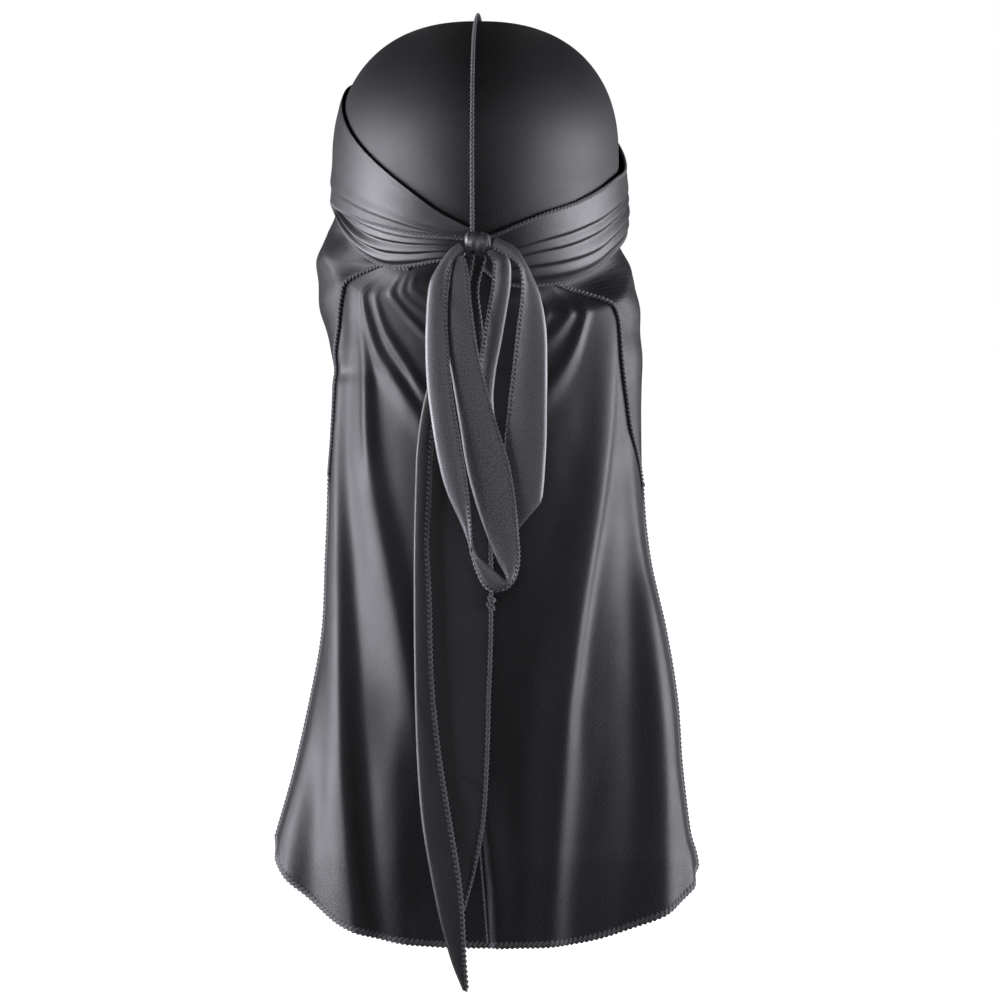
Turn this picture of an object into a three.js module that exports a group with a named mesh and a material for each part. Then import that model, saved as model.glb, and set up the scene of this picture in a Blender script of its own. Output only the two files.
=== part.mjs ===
import * as THREE from 'three';

// A black satin durag as it is worn: a cap of two halves, tie straps wrapped round the head and
// tied in a bow at the nape, and a long cape hanging down the back.
// Millimetres. +X is the wearer's right, +Y the way the wearer faces, +Z up.
// The origin is the top of the cap's inner face, where the cap sits on a head.

// Cloth
const WALL = 1.2;
const FOLDED_WALL = 2.4;
const OPEN_TAIL_WALL = 1.4;

// The head-shaped space that the cap fits, an ellipse from above
const HEAD_HALF_WIDTH = 82;
const HEAD_HALF_DEPTH = 97;
const DOME_HEIGHT = 80;
const DOME_POWER = 2.35;
const NAPE_NARROWING = 0.17;
const SIDE_NARROWING = 0.03;
const NARROWING_DEPTH = 60;
const DOME_ARC = 140;

// How far the cap's lower edge lies below the top, by the turn from the middle of the back
const CROWN_EDGE = [
  { turn: 0, fall: 129 },
  { turn: 30, fall: 130 },
  { turn: 60, fall: 124 },
  { turn: 90, fall: 114 },
  { turn: 120, fall: 97 },
  { turn: 150, fall: 82 },
  { turn: 180, fall: 77 },
];
const CROWN_GAP = 0.7;
const CROWN_COLUMNS = 18;
const CROWN_ROWS = 10;

// The seam's standing ridge
const SEAM_WIDTH = 2.6;
const SEAM_CLEARANCE = 0.4;
const SEAM_HEIGHT = 4.4;
const SEAM_FRONT_FALL = 34;
const SEAM_BACK_FALL = 117;
const SEAM_STEPS = 30;

// Each band: the turn round the head from the middle of the back, how far its upper and lower
// edges lie below the top, and how far its cloth stands off the head at those edges
const PLEATS_FULL_BY = 0.3;
const PLEATS_FULL_BREADTH = 18;
const BAND_FLARES_FROM = 0.35;
const WRAP_LEFT_UPPER = {
  steps: 28,
  across: 7,
  pleats: 0,
  pleatHeight: 0,
  sections: [
    { turn: -0.8, high: 118.5, low: 124.5, lift: 2.4, flare: 4.2 },
    { turn: -14, high: 109, low: 123, lift: 2.4, flare: 4.8 },
    { turn: -27, high: 96, low: 121, lift: 2.4, flare: 5 },
    { turn: -44, high: 79.5, low: 116.5, lift: 2.4, flare: 5.2 },
    { turn: -56, high: 68, low: 113, lift: 2.5, flare: 5.2 },
    { turn: -72, high: 53.5, low: 109, lift: 2.6, flare: 5.4 },
    { turn: -90, high: 41, low: 105, lift: 2.8, flare: 5.4 },
    { turn: -120, high: 36, low: 92, lift: 2.8, flare: 4.2 },
    { turn: -150, high: 36, low: 80, lift: 3, flare: 4.2 },
    { turn: -170, high: 37, low: 75, lift: 4.2, flare: 4.2 },
    { turn: -188, high: 38, low: 74, lift: 4.2, flare: 4.2 },
  ],
};
const WRAP_LEFT_LOWER = {
  steps: 20,
  across: 8,
  pleats: 3,
  pleatHeight: 1.2,
  sections: [
    { turn: -0.8, high: 125.2, low: 136, lift: 2.4, flare: 2.8 },
    { turn: -14, high: 121, low: 137, lift: 2.4, flare: 3 },
    { turn: -31, high: 117.5, low: 140.5, lift: 2.4, flare: 4 },
    { turn: -44, high: 113.5, low: 140.5, lift: 2.6, flare: 5 },
    { turn: -56, high: 110, low: 133, lift: 2.6, flare: 6 },
    { turn: -65, high: 107.5, low: 122, lift: 2.6, flare: 6.6 },
    { turn: -75, high: 105, low: 110.5, lift: 2.4, flare: 4.3 },
    { turn: -90, high: 101, low: 105.5, lift: 2.6, flare: 2.8 },
    { turn: -104, high: 96.5, low: 101, lift: 2.6, flare: 2.6 },
    { turn: -116, high: 91, low: 95, lift: 2.4, flare: 2.6 },
  ],
};
const WRAP_RIGHT = {
  steps: 26,
  across: 8,
  pleats: 3,
  pleatHeight: 1.6,
  sections: [
    { turn: 0.8, high: 123.5, low: 136, lift: 2.4, flare: 2.8 },
    { turn: 8, high: 122.5, low: 145, lift: 2.4, flare: 3 },
    { turn: 18, high: 117, low: 151, lift: 2.4, flare: 4 },
    { turn: 31, high: 110, low: 151.5, lift: 2.6, flare: 5.2 },
    { turn: 46, high: 104, low: 149.5, lift: 3, flare: 6.2 },
    { turn: 60, high: 97, low: 144.5, lift: 3.2, flare: 6 },
    { turn: 72, high: 91, low: 135.5, lift: 4, flare: 6.4 },
    { turn: 90, high: 84.5, low: 124, lift: 4.8, flare: 6.8 },
    { turn: 120, high: 62, low: 104, lift: 3, flare: 3 },
    { turn: 150, high: 44, low: 86, lift: 2.4, flare: 2.4 },
    { turn: 184, high: 37, low: 75, lift: 2.4, flare: 2.4 },
  ],
};

// The knot: a wrapped pillow with shallow grooves
const KNOT_CENTRE = new THREE.Vector3(2.8, -98.6, -127);
const KNOT_HALF = new THREE.Vector3(7.8, 6.6, 6.2);
const KNOT_POWER = 2.6;
const KNOT_GROOVES = 3;
const KNOT_GROOVE_DEPTH = 0.07;
const KNOT_COLUMNS = 18;
const KNOT_ROWS = 8;

// Each ribbon runs through these sections, in order: its folded edge and its open edge as seen
// from behind, how far each lies below the top, and how far behind the head's middle it hangs.
// Where a ribbon twists, its tilt is how far its folded edge stands in front of its middle
const LOOP_LEFT = {
  steps: 40,
  across: 3,
  wall: FOLDED_WALL,
  bulge: 1.2,
  sections: [
    { fold: -8.4, foldFall: 127.8, open: -6, openFall: 131.6, back: 102.2 },
    { fold: -13.1, foldFall: 132.7, open: -9.6, openFall: 135.9, back: 103.6 },
    { fold: -20, foldFall: 142.6, open: -12.8, openFall: 142, back: 104.8 },
    { fold: -24.3, foldFall: 152.4, open: -13.9, openFall: 151.2, back: 106.2 },
    { fold: -25.9, foldFall: 169.7, open: -14.6, openFall: 170.9, back: 107.4 },
    { fold: -26.2, foldFall: 190.6, open: -13.6, openFall: 190.6, back: 108.6 },
    { fold: -25.2, foldFall: 210.3, open: -12, openFall: 210.3, back: 109.8 },
    { fold: -22.7, foldFall: 230, open: -9.1, openFall: 230, back: 110.8 },
    { fold: -19.2, foldFall: 250.8, open: -5.4, openFall: 250.8, back: 111.4 },
    { fold: -14.2, foldFall: 270.5, open: -2.4, openFall: 270.5, back: 111.8 },
    { fold: -5.9, foldFall: 289.1, open: -0.7, openFall: 289.1, back: 111.8, tilt: 1 },
    { fold: -1.6, foldFall: 300.4, open: 1.2, openFall: 303, back: 111.4, tilt: 2.8 },
    { fold: 3.9, foldFall: 308.8, open: 3.3, openFall: 315.8, back: 110.8, tilt: 2.8 },
    { fold: 12.5, foldFall: 316.4, open: 9.1, openFall: 326.8, back: 110.2, tilt: 1.2 },
    { fold: 18.9, foldFall: 321.6, open: 17.7, openFall: 328, back: 109.4 },
    { fold: 20, foldFall: 319.9, open: 24.6, openFall: 322.2, back: 108.6 },
    { fold: 14.8, foldFall: 310.1, open: 27.3, openFall: 310.1, back: 107.8 },
    { fold: 7.8, foldFall: 292.7, open: 26.3, openFall: 292.7, back: 107.4 },
    { fold: 1.5, foldFall: 273.6, open: 24.4, openFall: 273.6, back: 107.2 },
    { fold: -3.2, foldFall: 253.9, open: 20.8, openFall: 253.9, back: 107.2 },
    { fold: -6, foldFall: 235.9, open: 14.7, openFall: 234.7, back: 107.2 },
    { fold: -9.8, foldFall: 212.7, open: 8.1, openFall: 211.5, back: 107 },
    { fold: -13, foldFall: 190.7, open: 2.9, openFall: 189.5, back: 106.6 },
    { fold: -13.7, foldFall: 167.5, open: -0.4, openFall: 166.3, back: 105.4 },
    { fold: -12.4, foldFall: 147.8, open: -2.4, openFall: 146.7, back: 103.2 },
    { fold: -10.3, foldFall: 135.7, open: -4.8, openFall: 135.1, back: 100.2 },
  ],
};
const LOOP_RIGHT = {
  steps: 36,
  across: 3,
  wall: FOLDED_WALL,
  bulge: 1.2,
  sections: [
    { fold: 14.6, foldFall: 131.1, open: 8.8, openFall: 132.3, back: 99.6 },
    { fold: 21.5, foldFall: 137.5, open: 12.8, openFall: 138.7, back: 98.8 },
    { fold: 22.3, foldFall: 150.3, open: 12.2, openFall: 151.5, back: 97.6 },
    { fold: 20, foldFall: 166.6, open: 9.8, openFall: 166.6, back: 97 },
    { fold: 16.8, foldFall: 185.1, open: 6.9, openFall: 184, back: 96.8 },
    { fold: 13.3, foldFall: 203.7, open: 4.3, openFall: 202.5, back: 96.8 },
    { fold: 12.2, foldFall: 221.1, open: 4.1, openFall: 221.7, back: 96.8 },
    { fold: 15.6, foldFall: 239.6, open: 6.4, openFall: 242, back: 96.8 },
    { fold: 23.2, foldFall: 257, open: 10.4, openFall: 261.7, back: 96.9 },
    { fold: 33, foldFall: 267.4, open: 15.1, openFall: 279.6, back: 97.2 },
    { fold: 38.6, foldFall: 274.9, open: 20.3, openFall: 294.1, back: 97.6 },
    { fold: 40.3, foldFall: 276, open: 22.4, openFall: 296.9, back: 100.6 },
    { fold: 41.2, foldFall: 269.6, open: 20.4, openFall: 289.4, back: 103.3 },
    { fold: 42, foldFall: 259.2, open: 19.3, openFall: 273.1, back: 103.7 },
    { fold: 43, foldFall: 240.6, open: 19.6, openFall: 248.7, back: 103.7 },
    { fold: 43.2, foldFall: 220.9, open: 22.2, openFall: 219.7, back: 103.8 },
    { fold: 43.4, foldFall: 200, open: 24.5, openFall: 200, back: 103.8 },
    { fold: 42.9, foldFall: 177.9, open: 27.1, openFall: 176.8, back: 103.7 },
    { fold: 39.8, foldFall: 158.8, open: 29.4, openFall: 158.2, back: 103.8 },
    { fold: 35.2, foldFall: 147.2, open: 29.4, openFall: 146.6, back: 103.4 },
    { fold: 30.8, foldFall: 138.5, open: 27.1, openFall: 139.1, back: 102.8 },
    { fold: 25, foldFall: 130.4, open: 20.4, openFall: 134.2, back: 102.2 },
    { fold: 14, foldFall: 124.6, open: 11.7, openFall: 129.9, back: 101.4 },
  ],
};
const TAIL_LONG = {
  steps: 26,
  across: 2,
  wall: FOLDED_WALL,
  bulge: 0.6,
  sections: [
    { fold: -3.6, foldFall: 133.5, open: 1.6, openFall: 133.6, back: 98.6 },
    { fold: -9.8, foldFall: 152.1, open: -2.3, openFall: 152.1, back: 96.6 },
    { fold: -15.1, foldFall: 172.4, open: -6.4, openFall: 172.4, back: 95 },
    { fold: -21, foldFall: 195.7, open: -12.3, openFall: 195.7, back: 94 },
    { fold: -27.9, foldFall: 220, open: -20.1, openFall: 220, back: 93.6 },
    { fold: -31.8, foldFall: 245.6, open: -23.6, openFall: 245.6, back: 93.4 },
    { fold: -32.9, foldFall: 271.1, open: -24.7, openFall: 271.1, back: 93.4 },
    { fold: -33.6, foldFall: 303, open: -26.2, openFall: 303, back: 93.4 },
    { fold: -33.7, foldFall: 334.9, open: -24.7, openFall: 334.9, back: 93.6 },
    { fold: -33.3, foldFall: 378.9, open: -23.6, openFall: 378.9, back: 94.2 },
    { fold: -32, foldFall: 423, open: -19.5, openFall: 421.8, back: 95.2 },
    { fold: -29, foldFall: 462.4, open: -13.3, openFall: 461.2, back: 96.6 },
    { fold: -23.7, foldFall: 494.8, open: -8.1, openFall: 492.5, back: 98 },
    { fold: -18.2, foldFall: 521.5, open: -5.4, openFall: 518, back: 98.8 },
    { fold: -11.8, foldFall: 544.7, open: -4.3, openFall: 542.3, back: 98.8 },
    { fold: -7.4, foldFall: 561.5, open: -3, openFall: 562.2, back: 98.2 },
  ],
};
const TAIL_SHORT = {
  steps: 24,
  across: 3,
  wall: OPEN_TAIL_WALL,
  bulge: 0.8,
  sections: [
    { fold: -2, foldFall: 133.5, open: 8, openFall: 133.5, back: 95.8 },
    { fold: -5.9, foldFall: 155.1, open: 3.4, openFall: 154.5, back: 93.4 },
    { fold: -11.8, foldFall: 178.4, open: 5.6, openFall: 177.2, back: 91.6 },
    { fold: -17.6, foldFall: 207.4, open: 7.9, openFall: 207.4, back: 90.4 },
    { fold: -22.3, foldFall: 242.2, open: 9.6, openFall: 242.2, back: 89.8 },
    { fold: -25.8, foldFall: 282.8, open: 10.8, openFall: 282.8, back: 89.6 },
    { fold: -27.8, foldFall: 323.4, open: 11.3, openFall: 323.4, back: 89.6 },
    { fold: -28.1, foldFall: 358.2, open: 11.1, openFall: 358.2, back: 89.8 },
    { fold: -27.5, foldFall: 394.2, open: 9.9, openFall: 394.2, back: 90.4 },
    { fold: -26, foldFall: 426, open: 9.1, openFall: 426, back: 91.4 },
    { fold: -21, foldFall: 459.6, open: 6.8, openFall: 463.7, back: 92.8 },
    { fold: -14.6, foldFall: 486.8, open: 1.1, openFall: 493.2, back: 94 },
    { fold: -9.6, foldFall: 512.6, open: -5.2, openFall: 516, back: 95 },
  ],
};
const RIBBON_TIGHTNESS = 0.5;

// The cape, by how far below the top: where its side folds lie, and how far the middle and the
// sides hang behind the head's middle
const CAPE_SECTIONS = [
  { fall: 109, leftFold: 86, rightFold: 82, back: 86, side: 0 },
  { fall: 119, leftFold: 87.6, rightFold: 84, back: 83, side: 1 },
  { fall: 131, leftFold: 90.6, rightFold: 87, back: 79, side: 3 },
  { fall: 141, leftFold: 93.6, rightFold: 89, back: 75, side: 6 },
  { fall: 153, leftFold: 93.4, rightFold: 92, back: 71, side: 8 },
  { fall: 168, leftFold: 91, rightFold: 94, back: 69, side: 10 },
  { fall: 181, leftFold: 87.6, rightFold: 95, back: 69, side: 12 },
  { fall: 194, leftFold: 84, rightFold: 96, back: 69.6, side: 13.6 },
  { fall: 204, leftFold: 82, rightFold: 96, back: 70, side: 14.4 },
  { fall: 212, leftFold: 83, rightFold: 95.6, back: 71, side: 15 },
  { fall: 232, leftFold: 83.6, rightFold: 95.2, back: 73, side: 17 },
  { fall: 268, leftFold: 85.4, rightFold: 95.6, back: 76, side: 20 },
  { fall: 315, leftFold: 87.6, rightFold: 100, back: 79, side: 23 },
  { fall: 357, leftFold: 89.4, rightFold: 109.6, back: 81, side: 26 },
  { fall: 398, leftFold: 96.6, rightFold: 116.4, back: 83, side: 28 },
  { fall: 443, leftFold: 106.6, rightFold: 119.6, back: 84.6, side: 31 },
  { fall: 476, leftFold: 116, rightFold: 123.6, back: 85.6, side: 32.6 },
  { fall: 490, leftFold: 120.4, rightFold: 128, back: 86, side: 33.4 },
  { fall: 540, leftFold: 133, rightFold: 136, back: 86, side: 36 },
];

// The free edge of each folded-back side, by how far below the top the fold beside it lies
const CAPE_FLAP_LEFT = [
  { foldFall: 114, edge: 48, edgeFall: 142.4 },
  { foldFall: 121, edge: 53, edgeFall: 142.2 },
  { foldFall: 128, edge: 59, edgeFall: 141.8 },
  { foldFall: 134, edge: 66, edgeFall: 141.6 },
  { foldFall: 139, edge: 71, edgeFall: 142.4 },
  { foldFall: 143, edge: 74, edgeFall: 144.4 },
  { foldFall: 148, edge: 76, edgeFall: 147 },
  { foldFall: 156, edge: 77, edgeFall: 155 },
  { foldFall: 167, edge: 78.4, edgeFall: 166 },
  { foldFall: 178, edge: 79.2, edgeFall: 177.5 },
  { foldFall: 189, edge: 80.6, edgeFall: 188.5 },
  { foldFall: 204, edge: 81.9, edgeFall: 203.6 },
  { foldFall: 226, edge: 82.4, edgeFall: 225.6 },
  { foldFall: 250, edge: 84.5, edgeFall: 249.6 },
  { foldFall: 285, edge: 90, edgeFall: 285 },
  { foldFall: 540, edge: 137, edgeFall: 540 },
];
const CAPE_FLAP_RIGHT = [
  { foldFall: 114, edge: 50, edgeFall: 148.6 },
  { foldFall: 124, edge: 57.6, edgeFall: 148.8 },
  { foldFall: 133, edge: 62.6, edgeFall: 150.5 },
  { foldFall: 142, edge: 68.4, edgeFall: 153.9 },
  { foldFall: 150, edge: 74.3, edgeFall: 157.7 },
  { foldFall: 158, edge: 80.1, edgeFall: 164.6 },
  { foldFall: 169, edge: 83.4, edgeFall: 173 },
  { foldFall: 184, edge: 84.9, edgeFall: 184.6 },
  { foldFall: 196, edge: 85.9, edgeFall: 196 },
  { foldFall: 210, edge: 87.8, edgeFall: 210.4 },
  { foldFall: 225, edge: 89.8, edgeFall: 225 },
  { foldFall: 249, edge: 92.7, edgeFall: 249 },
  { foldFall: 272, edge: 96.8, edgeFall: 272 },
  { foldFall: 290, edge: 101, edgeFall: 290 },
  { foldFall: 540, edge: 141, edgeFall: 540 },
];
const CAPE_SPREAD = 90;
const CAPE_LEAST_FLAP = 3;
const CAPE_WIDE_FLAP = 30;
const CAPE_FLAP_GAP = 2.05;
const CAPE_FLAP_LIFT = 2.6;
const CAPE_FLAP_OPEN = 3;
const CAPE_FLAP_OPENS_FROM = 142;
const CAPE_FLAP_OPENS_TO = 160;
const CAPE_FLAP_SLANT = 1.3;
const CAPE_SEAM_GAP = 0.8;
const CAPE_FREE_BELOW = 24;
const CAPE_HEM_FALL = 538;
const CAPE_HEM_LEFT = { rise: 57, power: 2.6 };
const CAPE_HEM_RIGHT = { rise: 41.5, power: 3.5 };
const CAPE_COLUMNS = 34;
const CAPE_FLAP_COLUMNS = 8;
const CAPE_FLAP_CROWDING = 1.3;
const CAPE_ROWS = 24;
const CAPE_ROW_CROWDING = 1.45;

// Hanging folds: where each crest lies sideways, how wide it is and how far it stands out
const CAPE_FOLDS = [
  [
    { fall: 160, across: -77, width: 8, height: 1 },
    { fall: 240, across: -78, width: 9, height: 3.5 },
    { fall: 340, across: -75, width: 11, height: 6 },
    { fall: 440, across: -71, width: 14, height: 8 },
    { fall: 538, across: -64, width: 17, height: 9 },
  ],
  [
    { fall: 370, across: -91, width: 10, height: 0 },
    { fall: 430, across: -96, width: 11, height: 3 },
    { fall: 510, across: -107, width: 13, height: 6 },
  ],
  [
    { fall: 200, across: -63, width: 10, height: 0 },
    { fall: 260, across: -59, width: 11, height: 3.5 },
    { fall: 320, across: -48, width: 11, height: 5 },
    { fall: 380, across: -38, width: 11, height: 3.5 },
    { fall: 440, across: -34, width: 11, height: 0 },
  ],
  [
    { fall: 400, across: -46, width: 12, height: 0 },
    { fall: 450, across: -44, width: 12, height: 3 },
    { fall: 538, across: -40, width: 14, height: 5 },
  ],
  [
    { fall: 170, across: 80, width: 8, height: 1 },
    { fall: 240, across: 75, width: 9, height: 3.5 },
    { fall: 310, across: 65, width: 11, height: 5.5 },
    { fall: 390, across: 54, width: 13, height: 6 },
    { fall: 538, across: 43, width: 13, height: 5 },
  ],
  [
    { fall: 230, across: 91, width: 8, height: 0 },
    { fall: 300, across: 95, width: 9, height: 3.5 },
    { fall: 390, across: 103, width: 10, height: 7 },
    { fall: 538, across: 105, width: 13, height: 9 },
  ],
  [
    { fall: 430, across: 9, width: 10, height: 0 },
    { fall: 538, across: 16, width: 12, height: 3.5 },
  ],
];
const CAPE_FOLD_STARTS_ABOVE = 40;
const CAPE_FOLDS_END = 0.93;

// Sagging folds under the bands, drooping towards the middle
const CAPE_SAGS = [
  { middle: 176, width: 8, height: 3.5, reach: 38 },
  { middle: 198, width: 9, height: 4, reach: 44 },
];
const CAPE_SAG_DROOP = 34;

function radians(degrees) {
  return degrees * Math.PI / 180;
}

function mix(from, to, share) {
  return from + (to - from) * share;
}

function ease(start, end, value) {
  const share = Math.min(Math.max((value - start) / (end - start), 0), 1);
  return share * share * (3 - 2 * share);
}

// A smooth curve through one column of a table, which is in order of its key column
function lookUp(table, key, value, column) {
  const rising = table[1][key] > table[0][key] ? 1 : -1;
  let index = 0;
  while (index < table.length - 2 && rising * (value - table[index + 1][key]) > 0) {
    index += 1;
  }
  const slope = (at) => {
    const before = table[Math.max(at - 1, 0)];
    const after = table[Math.min(at + 1, table.length - 1)];
    return (after[column] - before[column]) / (after[key] - before[key]);
  };
  const start = table[index];
  const end = table[index + 1];
  const span = end[key] - start[key];
  const share = Math.min(Math.max((value - start[key]) / span, 0), 1);
  const square = share * share;
  const cube = square * share;
  return (2 * cube - 3 * square + 1) * start[column]
    + (cube - 2 * square + share) * span * slope(index)
    + (3 * square - 2 * cube) * end[column]
    + (cube - square) * span * slope(index + 1);
}

// The share of the head's full width and depth at a height below the top
function headShare(turn, fall) {
  if (fall < DOME_HEIGHT) {
    const rise = (DOME_HEIGHT - fall) / DOME_HEIGHT;
    return (1 - rise ** DOME_POWER) ** (1 / DOME_POWER);
  }
  const towardsBack = Math.max(Math.cos(radians(turn)), 0);
  const narrowing = mix(SIDE_NARROWING, NAPE_NARROWING, towardsBack);
  return 1 - narrowing * ((fall - DOME_HEIGHT) / NARROWING_DEPTH) ** 2;
}

function headPoint(turn, fall) {
  const share = headShare(turn, fall);
  const x = HEAD_HALF_WIDTH * share * Math.sin(radians(turn));
  const y = -HEAD_HALF_DEPTH * share * Math.cos(radians(turn));
  return new THREE.Vector3(x, y, -fall);
}

// A point that stands off the head's surface
function overHead(turn, fall, stand) {
  const step = 0.5;
  const point = headPoint(turn, fall);
  const round = headPoint(turn + step, fall).sub(headPoint(turn - step, fall));
  const down = headPoint(turn, fall + step).sub(headPoint(turn, fall - step));
  const outward = down.cross(round).normalize();
  return point.addScaledVector(outward, stand);
}

// A closed mesh from two facing grids of points, with rims round their four sides
function closedSheet(columns, rows, faces) {
  const positions = [];
  const known = new Map();
  const indices = [];
  const weld = (point) => {
    const name = point.toArray().map((value) => Math.round(value * 1000)).join(',');
    if (!known.has(name)) {
      known.set(name, positions.length / 3);
      positions.push(point.x, point.y, point.z);
    }
    return known.get(name);
  };
  const triangle = (a, b, c) => {
    if (a !== b && b !== c && c !== a) {
      indices.push(a, b, c);
    }
  };
  const quad = (a, b, c, d) => {
    triangle(a, b, c);
    triangle(a, c, d);
  };
  const inner = [];
  const outer = [];
  for (let column = 0; column <= columns; column += 1) {
    inner.push([]);
    outer.push([]);
    for (let row = 0; row <= rows; row += 1) {
      const pair = faces(column / columns, row / rows);
      inner[column].push(weld(pair[0]));
      outer[column].push(weld(pair[1]));
    }
  }
  for (let column = 0; column < columns; column += 1) {
    for (let row = 0; row < rows; row += 1) {
      const nextColumn = column + 1;
      const nextRow = row + 1;
      quad(outer[column][row], outer[column][nextRow], outer[nextColumn][nextRow], outer[nextColumn][row]);
      quad(inner[column][row], inner[nextColumn][row], inner[nextColumn][nextRow], inner[column][nextRow]);
    }
  }
  for (let column = 0; column < columns; column += 1) {
    const next = column + 1;
    quad(outer[column][0], outer[next][0], inner[next][0], inner[column][0]);
    quad(outer[next][rows], outer[column][rows], inner[column][rows], inner[next][rows]);
  }
  for (let row = 0; row < rows; row += 1) {
    const next = row + 1;
    quad(outer[0][next], outer[0][row], inner[0][row], inner[0][next]);
    quad(outer[columns][row], outer[columns][next], inner[columns][next], inner[columns][row]);
  }
  return outwardGeometry(positions, indices);
}

// Turns every face round where the closed mesh came out inside out
function outwardGeometry(positions, indices) {
  let volume = 0;
  const corner = (index) => new THREE.Vector3().fromArray(positions, index * 3);
  for (let start = 0; start < indices.length; start += 3) {
    const [a, b, c] = indices.slice(start, start + 3).map(corner);
    volume += a.dot(b.cross(c));
  }
  if (volume < 0) {
    indices.reverse();
  }
  const geometry = new THREE.BufferGeometry();
  geometry.setAttribute('position', new THREE.Float32BufferAttribute(positions, 3));
  geometry.setIndex(indices);
  geometry.computeVertexNormals();
  return geometry;
}

// The two faces of cloth whose middle is a surface of two shares
function clothFaces(middle, wall) {
  const step = 0.003;
  return (along, across) => {
    const point = middle(along, across);
    const start = Math.max(along - step, 0);
    const end = Math.min(along + step, 1);
    const alongWay = middle(end, across).sub(middle(start, across));
    const acrossWay = middle(along, across + step).sub(middle(along, across - step));
    const normal = alongWay.cross(acrossWay).normalize();
    return [
      point.clone().addScaledVector(normal, -wall / 2),
      point.clone().addScaledVector(normal, wall / 2),
    ];
  };
}

// One half of the cap, from the top down to its lower edge
function crownHalf(side) {
  const place = (around, down, stand) => {
    const turn = 180 * around;
    const edge = lookUp(CROWN_EDGE, 'turn', turn, 'fall');
    const arc = down * (1 + (edge - DOME_HEIGHT) / DOME_ARC);
    const angle = radians(90 * Math.min(arc, 1));
    const below = Math.max(arc - 1, 0) * DOME_ARC;
    const share = arc < 1 ? Math.sin(angle) ** (2 / DOME_POWER) : headShare(turn, DOME_HEIGHT + below);
    const rise = arc < 1 ? Math.cos(angle) ** (2 / DOME_POWER) : 0;
    const x = (HEAD_HALF_WIDTH + stand) * share * Math.sin(radians(turn)) + CROWN_GAP / 2;
    const y = -(HEAD_HALF_DEPTH + stand) * share * Math.cos(radians(turn));
    const z = (DOME_HEIGHT + stand) * rise - DOME_HEIGHT - below;
    return new THREE.Vector3(side * x, y, z);
  };
  return closedSheet(CROWN_COLUMNS, CROWN_ROWS, (around, down) => [
    place(around, down, 0),
    place(around, down, WALL),
  ]);
}

// The ridge that stands up along the join of the halves, from the forehead over to the knot
function centreSeam() {
  const foot = WALL + SEAM_CLEARANCE;
  const frontAngle = Math.acos((1 - SEAM_FRONT_FALL / DOME_HEIGHT) ** (DOME_POWER / 2));
  const backExtra = SEAM_BACK_FALL - DOME_HEIGHT;
  const frontArc = frontAngle / radians(90);
  const backArc = 1 + backExtra / DOME_ARC;
  const middle = (along, up) => {
    const arc = mix(-frontArc, backArc, along);
    const stand = foot + SEAM_HEIGHT * up;
    const angle = radians(90 * Math.min(Math.abs(arc), 1));
    const below = Math.max(arc - 1, 0) * DOME_ARC;
    const share = arc < 1 ? Math.sin(angle) ** (2 / DOME_POWER) : headShare(0, DOME_HEIGHT + below);
    const rise = arc < 1 ? Math.cos(angle) ** (2 / DOME_POWER) : 0;
    const y = -Math.sign(arc) * (HEAD_HALF_DEPTH + stand) * share;
    const z = (DOME_HEIGHT + stand) * rise - DOME_HEIGHT - below;
    return new THREE.Vector3(0, y, z);
  };
  return closedSheet(SEAM_STEPS, 1, (along, up) => {
    const point = middle(along, up);
    return [
      point.clone().setX(-SEAM_WIDTH / 2),
      point.clone().setX(SEAM_WIDTH / 2),
    ];
  });
}

// A band wrapped round the head; its pleats die out at its edges and at both ends
function wrapBand(band) {
  const first = band.sections[0].turn;
  const last = band.sections[band.sections.length - 1].turn;
  const middle = (along, across) => {
    const turn = mix(first, last, along);
    const read = (column) => lookUp(band.sections, 'turn', turn, column);
    const fall = mix(read('high'), read('low'), across);
    const fullness = ease(0, PLEATS_FULL_BY, along) * ease(0, PLEATS_FULL_BY, 1 - along);
    const wave = Math.sin(Math.PI * across) * (1 - Math.cos(2 * Math.PI * band.pleats * across)) / 2;
    const flared = ease(BAND_FLARES_FROM, 1, across);
    const breadth = Math.min((read('low') - read('high')) / PLEATS_FULL_BREADTH, 1) ** 2;
    const pleats = band.pleatHeight * breadth * fullness * wave;
    const stand = mix(read('lift'), read('flare'), flared) + pleats;
    return overHead(turn, fall, stand);
  };
  return closedSheet(band.steps, band.across, clothFaces(middle, WALL));
}

// A ribbon through its sections, curved across its width
function ribbon(shape) {
  const curve = (sideName) => {
    const points = shape.sections.map((section) => {
      const x = section[sideName];
      const z = -section[`${sideName}Fall`];
      const tilt = (section.tilt ?? 0) * (sideName === 'fold' ? 1 : -1);
      return new THREE.Vector3(x, -section.back - tilt, z);
    });
    return new THREE.CatmullRomCurve3(points, false, 'catmullrom', RIBBON_TIGHTNESS);
  };
  const fold = curve('fold');
  const open = curve('open');
  const middle = (along, across) => {
    const point = fold.getPoint(along).lerp(open.getPoint(along), across);
    point.y -= shape.bulge * 4 * across * (1 - across);
    return point;
  };
  return closedSheet(shape.steps, shape.across, clothFaces(middle, shape.wall));
}

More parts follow.
